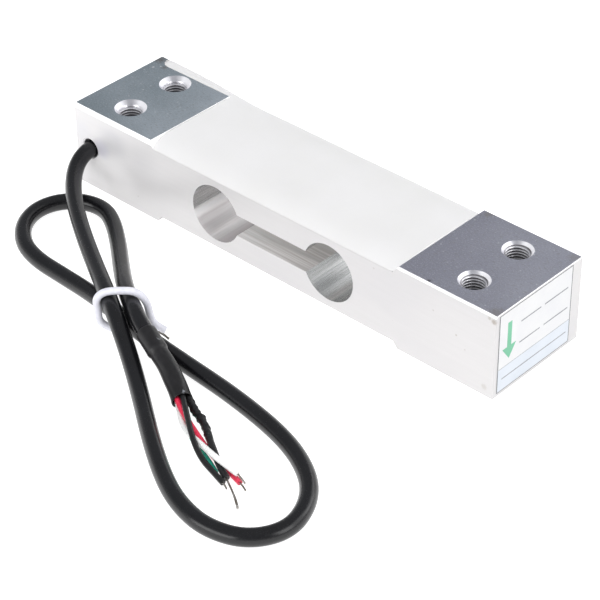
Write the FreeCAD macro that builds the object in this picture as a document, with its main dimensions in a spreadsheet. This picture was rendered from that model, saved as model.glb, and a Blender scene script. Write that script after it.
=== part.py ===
import FreeCAD, Part
import math
import os
import Sketcher
from FreeCAD import Vector, Placement, Rotation

# Single point load cell: an aluminium bending beam with a binocular cut-out, foil gauges under white
# silicone, and a four-core shielded signal cable with bare wire ends.
# Frame: X along the beam, +Y away from the cable side, +Z up, origin at the bottom centre of the beam.
# The fixed end, where the cable leaves, is at -X; the load end is at +X.

doc = FreeCAD.newDocument("LoadCell")

# ---------------------------------------------------------------- driving dimensions (mm)
DIMS = [
    ("bar_length", 130.0), ("bar_width", 30.0), ("bar_height", 22.0),
    # raised mounting pads and the shallow recesses between them
    ("pad_left_top", 26.0), ("pad_right_top", 27.2), ("pad_left_low", 27.4), ("pad_right_low", 26.9),
    ("ramp_run", 1.3), ("recess_top", 1.9), ("recess_low", 1.7),
    # binocular cut-out
    ("bino_radius", 7.4), ("bino_offset", 17.6), ("bino_height", 11.0), ("slot_low", 8.0), ("slot_high", 13.7),
    # tapped holes M6, drawn at the thread's outer diameter, with 90 degree countersinks
    ("bolt_radius", 3.0), ("bolt_x", 53.0), ("bolt_y", 7.5),
    ("sink_radius_left", 3.95), ("sink_radius_right", 3.65), ("sink_tip", 0.8),
    # edge breaks
    ("edge_left_flat", 0.55), ("edge_left_drop", 1.1), ("edge_right", 0.45), ("edge_back", 0.3), ("edge_low", 0.12),
    ("edge_end", 0.15), ("bore_break", 0.28),
    # cable bore, wire slot up the back face, wire channel along the back top edge, lead passage
    ("bore_radius", 2.45), ("bore_x", 60.2), ("bore_z", 11.0),
    ("channel_inner", 12.0), ("channel_start", 62.7), ("channel_end", 28.5), ("channel_floor", 17.8),
    ("exit_start", 38.0), ("exit_inner", 10.4), ("exit_floor", 19.3),
    ("slot_right", 57.7), ("slot_floor", 8.55), ("channel_round", 2.4),
    ("passage_radius", 1.5), ("passage_x", 31.0), ("passage_y", 10.0),
    # silicone
    ("potting_level", 21.95), ("dome_edge", 20.15), ("dome_run", 7.0), ("dome_crown", 0.03), ("seal_front", 12.4),
    ("potting_low_length", 72.0), ("potting_low_width", 25.6), ("potting_low_depth", 1.5),
    # gauges, board, chip resistors, wires
    ("gauge_length", 8.0), ("gauge_width", 5.0), ("gauge_thick", 0.1),
    ("board_length", 12.0), ("board_width", 8.0), ("board_thick", 0.8),
    ("chip_length", 2.0), ("chip_width", 1.25), ("chip_thick", 0.5), ("chip_offset", 2.5),
    ("lead_radius", 0.12), ("lead_pitch", 0.9), ("core_radius", 0.65),
    # cable and what is on it
    ("cable_radius", 2.0), ("sleeve_over_cable", 2.38), ("sleeve_lap", 6.4), ("sleeve_outer", 2.36), ("sleeve_bore", 2.06),
    ("drain_radius", 0.78), ("tip_radius", 0.22), ("tie_radius", 0.87), ("tie_strand_radius", 0.28),
    # label on the load end face
    ("label_width", 25.3), ("label_height", 20.6), ("label_thick", 0.1), ("label_edge", 13.8), ("label_low", 1.0),
]
sheet = doc.addObject("Spreadsheet::Sheet", "Dims")
for i, (alias, value) in enumerate(DIMS):
    sheet.set("A%d" % (i + 1), alias)
    sheet.set("B%d" % (i + 1), repr(value))
    sheet.setAlias("B%d" % (i + 1), alias)
doc.recompute()


class Size:
    """A size as both a sheet expression and its value."""

    def __init__(self, text, value):
        self.text, self.value = text, value

    def __add__(self, other):
        o = size(other)
        return Size("(%s + %s)" % (self.text, o.text), self.value + o.value)

    def __sub__(self, other):
        o = size(other)
        return Size("(%s - %s)" % (self.text, o.text), self.value - o.value)

    def __mul__(self, k):
        return Size("(%s * %r)" % (self.text, k), self.value * k)

    def __neg__(self):
        return Size("(-1 * %s)" % self.text, -self.value)


def size(x):
    return x if isinstance(x, Size) else Size(repr(float(x)), float(x))


S = {alias: Size("Dims." + alias, float(sheet.get(alias))) for alias, _ in DIMS}
D = {alias: s.value for alias, s in S.items()}
nodes = {}


def keep(obj, name):
    """This object is the sub-part of that name."""
    obj.Label = name
    nodes[name] = obj
    return obj


# ---------------------------------------------------------------- helpers for sketches and primitives
def plane(body, role):
    for feature in body.Origin.OriginFeatures:
        if feature.Role == role:
            return feature
    raise RuntimeError(role)


def sketch(body, name, role, offset=None):
    sk = body.newObject("Sketcher::SketchObject", name)
    sk.AttachmentSupport = [(plane(body, role), "")]
    sk.MapMode = "FlatFace"
    if offset is not None:
        sk.setExpression(".AttachmentOffset.Base.z", offset.text)
    return sk


def bind(sk, geo, pos, x, y):
    """Holds one point of a sketch at two sizes."""
    for kind, s in (("DistanceX", size(x)), ("DistanceY", size(y))):
        index = sk.addConstraint(Sketcher.Constraint(kind, -1, 1, geo, pos, s.value))
        if "Dims." in s.text:
            sk.setExpression("Constraints[%d]" % index, s.text)


def polygon(body, name, role, points, offset=None):
    sk = sketch(body, name, role, offset)
    pos = [Vector(size(x).value, size(y).value, 0) for x, y in points]
    n = len(pos)
    for i in range(n):
        sk.addGeometry(Part.LineSegment(pos[i], pos[(i + 1) % n]), False)
    for i in range(n):
        sk.addConstraint(Sketcher.Constraint("Coincident", i, 2, (i + 1) % n, 1))
    for i, (x, y) in enumerate(points):
        bind(sk, i, 1, x, y)
    return sk


def circles(body, name, role, centres, radius, offset=None):
    sk = sketch(body, name, role, offset)
    for i, (x, y) in enumerate(centres):
        sk.addGeometry(Part.Circle(Vector(x.value, y.value, 0), Vector(0, 0, 1), radius.value), False)
        bind(sk, i, 3, x, y)
        index = sk.addConstraint(Sketcher.Constraint("Radius", i, radius.value))
        sk.setExpression("Constraints[%d]" % index, radius.text)
    return sk


def pocket(body, name, profile, length=None, reverse=False):
    """Cuts a sketch out of the body, right through when no length is given, and makes sure that something was cut."""
    doc.recompute()
    before = body.Shape.Volume
    cut = body.newObject("PartDesign::Pocket", name)
    cut.Profile = profile
    cut.Type = "Length"
    if length is None:
        cut.SideType = "Symmetric"
        cut.Length = 400.0
    else:
        cut.setExpression("Length", length.text)
    cut.Reversed = reverse
    doc.recompute()
    if not body.Shape.Volume < before - 0.01:
        raise RuntimeError("%s cut nothing" % name)
    return cut


def primitive(body, kind, name, sizes, base, rotation=None):
    """An additive or subtractive primitive whose sizes and place are held by the sheet."""
    p = body.newObject("PartDesign::" + kind, name)
    p.MapMode = "Deactivated"
    p.Placement = Placement(Vector(*[size(b).value for b in base]), rotation or Rotation())
    for prop, s in sizes.items():
        p.setExpression(prop, size(s).text)
    for prop, b in zip(("x", "y", "z"), base):
        p.setExpression(".Placement.Base." + prop, size(b).text)
    doc.recompute()
    return p


def edges_where(body, test):
    found = []
    for i, e in enumerate(body.Shape.Edges):
        if len(e.Vertexes) == 2 and e.Curve.TypeId == "Part::GeomLine" and test(e.Vertexes[0].Point, e.Vertexes[1].Point):
            found.append("Edge%d" % (i + 1))
    return found


def break_edges(body, kind, name, tests, size1, size2=None):
    names = []
    for test in tests:
        found = edges_where(body, test)
        if not found:
            raise RuntimeError("%s: an edge was not found" % name)
        names += found
    before, last = body.Shape.Volume, body.Tip
    c = body.newObject("PartDesign::" + kind, name)
    c.Base = (last, names)
    if kind == "Fillet":
        c.setExpression("Radius", size1.text)
    else:
        c.setExpression("Size", size1.text)
        if size2 is not None:
            c.ChamferType = "Two distances"
            c.setExpression("Size2", size2.text)
    doc.recompute()
    if not body.Shape.isValid() or not body.Shape.Volume < before - 0.001:
        raise RuntimeError("%s failed" % name)
    return c


def box(name, sizes, base):
    b = doc.addObject("Part::Box", name)
    for prop, s in zip(("Length", "Width", "Height"), sizes):
        b.setExpression(prop, size(s).text)
    for prop, s in zip("xyz", base):
        b.setExpression(".Placement.Base." + prop, size(s).text)
    return b


def cut(name, base, tools):
    """Base without its tools, as a Part boolean."""
    doc.recompute()
    joined = tools[0]
    if len(tools) > 1:
        joined = doc.addObject("Part::MultiFuse", name + "Tools")
        joined.Shapes = tools
    c = doc.addObject("Part::Cut", name)
    c.Base = base
    c.Tool = joined
    doc.recompute()
    if not c.Shape.Volume < base.Shape.Volume:
        raise RuntimeError("%s cut nothing" % name)
    return c


# ---------------------------------------------------------------- helpers for cords
def route(points, radii=None, share=0.45):
    """Straight runs joined by tangent arcs: each arc's radius is 0.45 of its shorter run over the tangent of half the turn."""
    p = [Vector(*q) for q in points]
    edges, at, found = [], p[0], []
    for i in range(1, len(p) - 1):
        a, b = p[i] - p[i - 1], p[i + 1] - p[i]
        la, lb = a.Length, b.Length
        a.normalize()
        b.normalize()
        half_turn = a.getAngle(b) / 2
        radius = (radii or {}).get(i, share * min(la, lb) / math.tan(half_turn))
        leg = radius * math.tan(half_turn)
        start, end = p[i] - a * leg, p[i] + b * leg
        inward = b - a
        inward.normalize()
        middle = p[i] + inward * (radius / math.cos(half_turn) - radius)
        if (start - at).Length > 1e-6:
            edges.append(Part.LineSegment(at, start).toShape())
        edges.append(Part.Arc(start, middle, end).toShape())
        at = end
        found.append((radius, math.degrees(2 * half_turn)))
    edges.append(Part.LineSegment(at, p[-1]).toShape())
    return Part.Wire(edges), found


def tube(points, radius, label=None, radii=None):
    """A round tube along a route. Its volume is compared with section times length."""
    wire, found = route(points, radii)
    first = Vector(*points[1]) - Vector(*points[0])
    profile = Part.Wire([Part.Circle(Vector(*points[0]), first, radius).toShape()])
    shape = wire.makePipeShell([profile], True, True)
    if shape.Volume < 0:
        shape.reverse()
    ideal = math.pi * radius * radius * wire.Length
    if label:
        print("%s: %.1f mm long, arc radii %s mm, turns %s degrees, volume %.1f against %.1f mm3" % (
            label, wire.Length, " ".join("%.1f" % r for r, _ in found), " ".join("%.0f" % t for _, t in found), shape.Volume, ideal))
    if not shape.isValid() or abs(shape.Volume - ideal) > 0.02 * ideal:
        raise RuntimeError("tube volume is off: %s" % label)
    return shape


def largest(shape):
    """The one solid of a cut shape, without slivers."""
    return max(shape.Solids, key=lambda solid: solid.Volume)


def feature(name, shape):
    f = doc.addObject("Part::Feature", "Free_" + name)
    f.Shape = shape
    f.Placement = Placement()
    return keep(f, name)


def bent(points, radius, bend):
    """A wire with the same small bend at every corner."""
    return tube(points, radius, None, {i: bend for i in range(1, len(points) - 1)})


# ---------------------------------------------------------------- spring element: one milled aluminium bar
half, wide, high = S["bar_length"] * 0.5, S["bar_width"] * 0.5, S["bar_height"]
bar = doc.addObject("PartDesign::Body", "SpringElement")
blank = bar.newObject("PartDesign::Pad", "Blank")
blank.Profile = polygon(bar, "SideProfile", "XZ_Plane", [
    (-half, 0), (-half + S["pad_left_low"], 0),
    (-half + S["pad_left_low"] + S["ramp_run"], S["recess_low"]), (half - S["pad_right_low"] - S["ramp_run"], S["recess_low"]),
    (half - S["pad_right_low"], 0), (half, 0), (half, high),
    (half - S["pad_right_top"], high), (half - S["pad_right_top"] - S["ramp_run"], high - S["recess_top"]),
    (-half + S["pad_left_top"] + S["ramp_run"], high - S["recess_top"]), (-half + S["pad_left_top"], high), (-half, high)])
blank.SideType = "Symmetric"
blank.setExpression("Length", "Dims.bar_width")
doc.recompute()

# the two through holes of the binocular cut-out and the slot that joins them
pocket(bar, "BinocularHoles", circles(bar, "BinocularCircles", "XZ_Plane", [
    (-S["bino_offset"], S["bino_height"]), (S["bino_offset"], S["bino_height"])], S["bino_radius"]))
pocket(bar, "BinocularSlot", polygon(bar, "BinocularSlotOutline", "XZ_Plane", [
    (-S["bino_offset"], S["slot_low"]), (S["bino_offset"], S["slot_low"]),
    (S["bino_offset"], S["slot_high"]), (-S["bino_offset"], S["slot_high"])]))

# four tapped holes through the pads, each with a countersink at both ends
pocket(bar, "TappedHoles", circles(bar, "TappedCircles", "XY_Plane", [
    (x, y) for x in (-S["bolt_x"], S["bolt_x"]) for y in (-S["bolt_y"], S["bolt_y"])], S["bolt_radius"]))
upside_down = Rotation(Vector(1, 0, 0), 180)
for end, x, rim in (("Left", -S["bolt_x"], S["sink_radius_left"]), ("Right", S["bolt_x"], S["sink_radius_right"])):
    for side, y in (("Front", -S["bolt_y"]), ("Back", S["bolt_y"])):
        for level, z, turned in (("Top", high, upside_down), ("Low", size(0), None)):
            before = bar.Shape.Volume
            primitive(bar, "SubtractiveCone", "Sink%s%s%s" % (end, side, level),
                      {"Radius1": rim, "Radius2": S["sink_tip"], "Height": rim - S["sink_tip"]}, (x, y, z), turned)
            if not bar.Shape.Volume < before - 0.5:
                raise RuntimeError("a countersink cut nothing")

# cable bore from the front face into the wire slot at the back
pocket(bar, "CableBore", circles(bar, "CableBoreCircle", "XZ_Plane", [(-S["bore_x"], S["bore_z"])], S["bore_radius"], wide),
       wide + S["channel_inner"] + 0.5)
# wire slot up the back face, wire channel along the back top edge into the recess
pocket(bar, "WireSlot", polygon(bar, "WireSlotOutline", "XZ_Plane", [
    (-S["channel_start"], S["slot_floor"]), (-S["slot_right"], S["slot_floor"]),
    (-S["slot_right"], high), (-S["channel_start"], high)], -wide), wide - S["channel_inner"], True)
pocket(bar, "WireChannel", polygon(bar, "WireChannelOutline", "XZ_Plane", [
    (-S["slot_right"] - 1, S["channel_floor"]), (-S["channel_end"], S["channel_floor"]),
    (-S["channel_end"], high), (-S["slot_right"] - 1, high)], -wide), wide - S["channel_inner"], True)
# the channel's outer end is rounded where the cutter stopped
round_end = edges_where(bar, lambda a, b: all(abs(q.x + D["channel_start"]) < 1e-3 and abs(q.y - D["channel_inner"]) < 1e-3 for q in (a, b)))
if round_end:
    break_edges_before = bar.Shape.Volume
    f = bar.newObject("PartDesign::Fillet", "ChannelEnd")
    f.Base = (bar.Group[-2] if bar.Tip == f else bar.Tip, round_end)
    f.setExpression("Radius", "Dims.channel_round")
    doc.recompute()
    if not bar.Shape.isValid() or not bar.Shape.Volume > break_edges_before:
        raise RuntimeError("the channel's rounded end failed")
# shallow step beside the channel, where the cores cross into the recess
pocket(bar, "CoreExit", polygon(bar, "CoreExitOutline", "XZ_Plane", [
    (-S["exit_start"], S["exit_floor"]), (-S["channel_end"], S["exit_floor"]),
    (-S["channel_end"], high), (-S["exit_start"], high)], -wide), wide - S["exit_inner"], True)
# passage for the lower gauges' leads
pocket(bar, "LeadPassage", circles(bar, "LeadPassageCircle", "XY_Plane", [(-S["passage_x"], -S["passage_y"])], S["passage_radius"]))


def along(y, z, x0, x1):
    """Edges that run along X at this y and z, inside this stretch."""
    return lambda a, b: (abs(a.y - y) < 1e-4 and abs(b.y - y) < 1e-4 and abs(a.z - z) < 1e-4 and abs(b.z - z) < 1e-4
                         and min(a.x, b.x) > x0 - 0.01 and max(a.x, b.x) < x1 + 0.01)


X1, Y1, Z1 = half.value, wide.value, high.value
left_front = break_edges(bar, "Chamfer", "EdgeLeftFront", [along(-Y1, Z1, -X1, -X1 + D["pad_left_top"])], S["edge_left_drop"], S["edge_left_flat"])
lowest = min(v.Point.z for v in bar.Shape.Vertexes if abs(v.Point.y + Y1) < 1e-4 and abs(v.Point.x + X1) < 1e-4 and v.Point.z > Z1 - 3)
if abs(lowest - (Z1 - D["edge_left_drop"])) > 1e-3:
    left_front.FlipDirection = True
    doc.recompute()
break_edges(bar, "Chamfer", "EdgeRightFront", [along(-Y1, Z1, X1 - D["pad_right_top"], X1)], S["edge_right"])
break_edges(bar, "Chamfer", "EdgeBack", [along(Y1, Z1, X1 - D["pad_right_top"], X1), along(Y1, Z1, -X1, -D["channel_start"])], S["edge_back"])
break_edges(bar, "Chamfer", "EdgeLow", [along(y, 0.0, x0, x1) for y in (-Y1, Y1)
                                        for x0, x1 in ((-X1, -X1 + D["pad_left_low"]), (X1 - D["pad_right_low"], X1))], S["edge_low"])
# light break all round both end faces, and on the rim of the cable bore
broken_ends = break_edges(bar, "Chamfer", "EdgeEnds", [
    lambda a, b, x=x: abs(a.x - x) < 1e-4 and abs(b.x - x) < 1e-4 for x in (-X1, X1)], S["edge_end"])
rim = ["Edge%d" % (i + 1) for i, e in enumerate(bar.Shape.Edges)
       if e.Curve.TypeId == "Part::GeomCircle" and abs(e.Curve.Radius - D["bore_radius"]) < 1e-4
       and abs(e.Curve.Center.x + D["bore_x"]) < 1e-4 and abs(e.Curve.Center.y + Y1) < 1e-4]
before_rim = bar.Shape.Volume
rim_break = bar.newObject("PartDesign::Chamfer", "BoreRim")
rim_break.Base = (broken_ends, rim)
rim_break.setExpression("Size", "Dims.bore_break")
doc.recompute()
if not rim or not bar.Shape.isValid() or not bar.Shape.Volume < before_rim - 0.1:
    raise RuntimeError("the cable bore's rim was not broken")
keep(bar, "spring_element")

# ---------------------------------------------------------------- gauges, board, chip resistors
floor_top = high - S["recess_top"]
for side, x in (("left", -S["bino_offset"]), ("right", S["bino_offset"])):
    gauge = [S["gauge_length"], S["gauge_width"], S["gauge_thick"]]
    corner = [x - S["gauge_length"] * 0.5, -S["gauge_width"] * 0.5]
    keep(box("TopGauge_" + side, gauge, corner + [floor_top]), "top_gauge_" + side)
    keep(box("LowGauge_" + side, gauge, corner + [S["recess_low"] - S["gauge_thick"]]), "bottom_gauge_" + side)
keep(box("Board", [S["board_length"], S["board_width"], S["board_thick"]],
         [-S["board_length"] * 0.5, -S["board_width"] * 0.5, floor_top]), "terminal_board")
for name, x in (("zero_resistor", -S["chip_offset"]), ("span_resistor", S["chip_offset"])):
    keep(box("Chip_" + name, [S["chip_length"], S["chip_width"], S["chip_thick"]],
             [x - S["chip_length"] * 0.5, -S["chip_width"] * 0.5, floor_top + S["board_thick"]]), name)

# leads of the upper gauges: two straight wires each, from the gauge's tabs to the board's edge
for side, sign in (("left", -1), ("right", 1)):
    wires = []
    for k, y in enumerate((-S["lead_pitch"], S["lead_pitch"])):
        wire = doc.addObject("Part::Cylinder", "TopLead_%s_%d" % (side, k))
        wire.Placement = Placement(Vector(), Rotation(Vector(0, 0, 1), Vector(sign, 0, 0)))
        wire.setExpression("Radius", "Dims.lead_radius")
        wire.setExpression("Height", (S["bino_offset"] - S["gauge_length"] * 0.5 + S["lead_pitch"] - S["board_length"] * 0.5).text)
        for prop, s in zip("xyz", (S["board_length"] * (0.5 * sign), y, floor_top + S["gauge_thick"] + S["lead_radius"])):
            wire.setExpression(".Placement.Base." + prop, s.text)
        wires.append(wire)
    pair = doc.addObject("Part::Compound", "TopLeads_" + side)
    pair.Links = wires
    keep(pair, "top_leads_" + side)
doc.recompute()

# leads of the lower gauges: along the lower recess, up the passage, along the upper recess to the board's front edge
r_lead = D["lead_radius"]
z_low = D["recess_low"] - D["gauge_thick"] - r_lead - 0.03
z_up = floor_top.value + 0.3
px, py, edge = -D["passage_x"], -D["passage_y"], -D["board_width"] / 2
for side, paths in {
    "left": [[(-20.8, -0.9, z_low), (px, -0.9, z_low), (px, py + 0.9, z_low), (px, py + 0.9, z_up), (-4.5, py + 0.9, z_up), (-4.5, edge, z_up)],
             [(-20.8, 0.9, z_low), (px - 1.6, 0.9, z_low), (px - 1.6, py - 0.9, z_low), (px, py - 0.9, z_low), (px, py - 0.9, z_up),
              (4.5, py - 0.9, z_up), (4.5, edge, z_up)]],
    "right": [[(14.4, -0.9, z_low), (11.5, -0.9, z_low), (11.5, py - 0.3, z_low), (px - 0.7, py - 0.3, z_low), (px - 0.7, py - 0.3, z_up),
               (1.5, py - 0.3, z_up), (1.5, edge, z_up)],
              [(14.4, 0.9, z_low), (10.5, 0.9, z_low), (10.5, py + 0.3, z_low), (px + 0.7, py + 0.3, z_low), (px + 0.7, py + 0.3, z_up),
               (-1.5, py + 0.3, z_up), (-1.5, edge, z_up)]],
}.items():
    feature("bottom_leads_" + side, Part.Compound([bent(p, r_lead, 0.4) for p in paths]))

# the cable's four cores inside the bar: along the bore, up the slot, along the channel, flat in the recess to the board's back edge
r_core = D["core_radius"]
xa, xb = -D["bore_x"] - 0.675, -D["bore_x"] + 0.675
za, zb = D["bore_z"] + 0.675, D["bore_z"] - 0.675
y0, y_in, y_out, z_hi, z_lo, z_flat, y_end = -10.6, 12.78, 14.13, 19.95, 18.5, 20.83, D["board_width"] / 2
for colour, path in {
    "red": [(xa, y0, za), (xa, y_in, za), (xa, y_in, z_hi), (-37.0, y_in, z_hi), (-35.2, 10.9, z_flat), (-30.5, 6.2, z_flat), (-4.5, 6.2, z_flat),
            (-4.5, y_end, z_flat)],
    "black": [(xa, y0, zb), (xa, y_out, zb), (xa, y_out, z_hi), (-36.4, y_out, z_hi), (-33.2, 10.9, z_flat), (-29.9, 7.6, z_flat), (-1.5, 7.6, z_flat),
              (-1.5, y_end, z_flat)],
    "green": [(xb, y0, za), (xb, y_in, za), (xb, y_in, z_lo), (-34.5, y_in, z_lo), (-32.8, y_in, 19.98), (-31.0, 10.9, z_flat), (-29.1, 9.0, z_flat),
              (1.5, 9.0, z_flat), (1.5, y_end, z_flat)],
    "white": [(xb, y0, zb), (xb, y_out, zb), (xb, y_out, z_lo), (-33.4, y_out, z_lo), (-32.1, 14.0, 19.3), (-28.5, 10.4, z_flat), (4.5, 10.4, z_flat),
              (4.5, y_end, z_flat)],
}.items():
    feature("inner_core_" + colour, bent(path, r_core, 0.7))

# ---------------------------------------------------------------- cable, shown end to end
cable_route = [
    (-60.2, -10.6, 11.0), (-60.2, -13.9, 11.0), (-60.5, -17.5, 10.1), (-59.2, -21.2, 8.5), (-55.2, -25.7, 7.4),
    (-48.5, -31.1, 6.8), (-38.2, -37.8, 6.7), (-27.3, -44.4, 7.1), (-17.6, -50.2, 8.0), (-9.4, -55.1, 7.9), (-1.9, -58.8, 4.3),
    (8.2, -65.1, 2.0), (22.5, -75.4, 2.0), (33.3, -82.1, 2.0), (41.2, -85.4, 2.0), (49.6, -86.6, 2.0), (58.0, -83.7, 2.0),
    (62.3, -76.2, 2.0), (60.0, -67.9, 2.0), (54.3, -61.3, 2.0), (43.1, -55.9, 2.0), (25.9, -52.9, 2.0), (9.1, -52.0, 2.3),
    (-2.7, -52.4, 3.8), (-13.5, -50.7, 4.0), (-25.1, -48.3, 2.7), (-36.1, -47.3, 2.0), (-44.7, -47.0, 2.0), (-52.2, -44.8, 2.0),
    (-58.2, -39.6, 2.0), (-60.7, -33.0, 2.0), (-59.1, -26.9, 2.0), (-54.4, -22.9, 2.0), (-48.3, -22.0, 2.0), (-42.2, -24.9, 2.0),
    (-33.6, -31.4, 2.8), (-24.7, -38.9, 4.9), (-16.7, -45.3, 7.1), (-9.3, -50.3, 8.5), (-1.6, -54.5, 8.4), (5.4, -56.5, 6.35),
]
r_cable = D["cable_radius"]
feature("signal_cable", tube(cable_route, r_cable, "signal_cable"))

# the wires that leave the cable's end through the sleeve
wire_routes = {
    "core_red": [(5.22, -57.63, 6.84), (9.69, -58.91, 5.5), (14.0, -60.97, 3.99), (17.65, -62.9, 3.22), (19.91, -64.05, 2.62), (22.71, -65.26, 2.35),
                 (26.29, -66.57, 1.92), (30.41, -67.76, 0.86), (34.74, -69.06, 0.67), (39.47, -70.02, 0.72), (44.1, -71.27, 0.83)],
    "core_white": [(4.93, -57.25, 5.48), (9.41, -58.5, 4.15), (13.82, -60.56, 2.62), (17.45, -62.59, 1.79), (19.2, -63.99, 1.43), (21.6, -65.8, 1.25),
                   (25.36, -67.92, 1.84), (30.78, -69.2, 2.42), (36.0, -70.9, 3.46), (40.13, -71.16, 3.17), (43.14, -70.8, 2.29)],
    "core_black": [(5.75, -56.51, 7.54), (10.31, -57.84, 6.21), (14.71, -59.96, 4.7), (18.36, -61.95, 3.94), (21.33, -64.17, 3.83), (24.43, -66.48, 3.63),
                   (27.86, -68.98, 3.59), (31.2, -71.03, 2.9), (34.6, -72.35, 1.91), (38.28, -73.22, 1.69), (42.0, -74.06, 1.32)],
    "core_green": [(5.28, -55.86, 5.3), (9.86, -57.15, 3.97), (14.43, -59.26, 2.44), (18.0, -61.42, 1.24), (20.15, -62.93, 0.95), (22.76, -64.78, 0.82),
                   (26.19, -67.51, 0.67), (30.54, -69.39, 0.75), (34.49, -70.73, 0.91), (37.98, -72.21, 0.67)],
    "drain_sleeve": [(5.8, -55.35, 6.6), (10.44, -56.69, 5.27), (15.0, -58.85, 3.75), (18.86, -60.65, 3.05), (21.09, -61.7, 2.13), (23.22, -62.26, 1.72),
                     (26.16, -63.39, 1.62), (29.96, -65.97, 1.79), (34.09, -68.74, 2.32), (37.87, -70.97, 1.81), (41.34, -72.4, 1.06)],
}
for name, path in wire_routes.items():
    feature(name, largest(tube(path, D["drain_radius"] if name == "drain_sleeve" else r_core, name).cut(nodes["signal_cable"].Shape)))

# the bare ends of those wires
tip_routes = {
    "conductor_red": [(44.1, -71.27, 0.83), (45.04, -71.48, 0.6), (46.42, -71.93, 0.35)],
    "conductor_white": [(43.14, -70.8, 2.29), (43.64, -70.81, 2.0), (44.55, -70.96, 1.6), (45.45, -71.04, 1.1)],
    "conductor_black": [(42.0, -74.06, 1.32), (42.54, -74.17, 1.1), (43.5, -74.47, 0.7)],
    "conductor_green": [(37.98, -72.21, 0.67), (39.23, -72.44, 0.55)],
    "conductor_drain": [(41.34, -72.4, 1.06), (43.28, -73.37, 0.8), (45.29, -74.42, 0.5), (47.04, -75.5, 0.35), (48.99, -76.94, 0.3)],
}
for name, path in tip_routes.items():
    owner = nodes["drain_sleeve" if name == "conductor_drain" else name.replace("conductor", "core")]
    feature(name, largest(tube(path, D["tip_radius"], name).cut(owner.Shape)))

# shrink sleeve: over the cable's last stretch, then on past its end, drawn in round the wires
last_run = Vector(*cable_route[-1]) - Vector(*cable_route[-2])
sleeve_start = Vector(*cable_route[-1]) - last_run * (D["sleeve_lap"] / last_run.Length)
mouth = [(14.4, -59.9, 3.5), (18.1, -61.9, 2.7)]
reach = 12.6 / last_run.Length
beyond = Vector(*cable_route[-2]) + last_run * reach
jacket_end = Vector(*cable_route[-2]) + last_run * 1.07
over = tube([tuple(sleeve_start), tuple(jacket_end)], D["sleeve_over_cable"])
after = tube([cable_route[-1], tuple(beyond)] + mouth, D["sleeve_outer"])
lumen = tube([cable_route[-1], tuple(beyond)] + mouth, D["sleeve_bore"])
sleeve = over.fuse(after).cut(lumen).cut(nodes["signal_cable"].Shape)
for name in wire_routes:
    sleeve = sleeve.cut(nodes[name].Shape)
sleeve = largest(sleeve.removeSplitter())
print("heat_shrink_sleeve: volume %.1f mm3" % sleeve.Volume)
feature("heat_shrink_sleeve", sleeve)

# tie: an insulated wire bent round three strands of the cable, with its bare strands at one end
tie_route = [
    (-4.2, -45.15, 0.89), (-6.18, -46.73, 2.25), (-6.82, -47.24, 5.38), (-7.2, -47.54, 8.78), (-8.92, -48.91, 11.43), (-11.83, -51.22, 10.83),
    (-14.56, -53.39, 10.97), (-16.14, -54.65, 8.96), (-15.87, -54.43, 5.87), (-15.85, -54.42, 2.69), (-14.0, -52.95, 0.89),
    (-11.46, -50.93, 1.02), (-9.01, -48.98, 0.89), (-6.6, -47.9, 1.2), (-4.9, -48.2, 1.9)]
feature("cable_tie", tube(tie_route, D["tie_radius"], "cable_tie"))
strand_route = [(-4.9, -48.2, 1.9), (-3.5, -48.55, 2.75), (-1.4, -49.2, 3.8), (0.7, -49.9, 4.6), (2.7, -50.6, 5.0)]
feature("tie_strands", largest(tube(strand_route, D["tie_strand_radius"], "tie_strands").cut(nodes["cable_tie"].Shape)))

# ---------------------------------------------------------------- silicone
# upper potting: the recess, the channel and the slot, poured in one go
level = S["potting_level"]
rise = S["ramp_run"] * ((D["potting_level"] - D["bar_height"] + D["recess_top"]) / D["recess_top"])
pour = doc.addObject("PartDesign::Body", "UpperPotting")
fill = pour.newObject("PartDesign::Pad", "RecessFill")
left_foot, right_foot = -half + S["pad_left_top"] + S["ramp_run"], half - S["pad_right_top"] - S["ramp_run"]
fill.Profile = polygon(pour, "RecessFillOutline", "XZ_Plane", [
    (left_foot, floor_top), (right_foot, floor_top), (right_foot + rise, level), (left_foot - rise, level)])
fill.SideType = "Symmetric"
fill.setExpression("Length", "Dims.bar_width")
doc.recompute()


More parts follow.
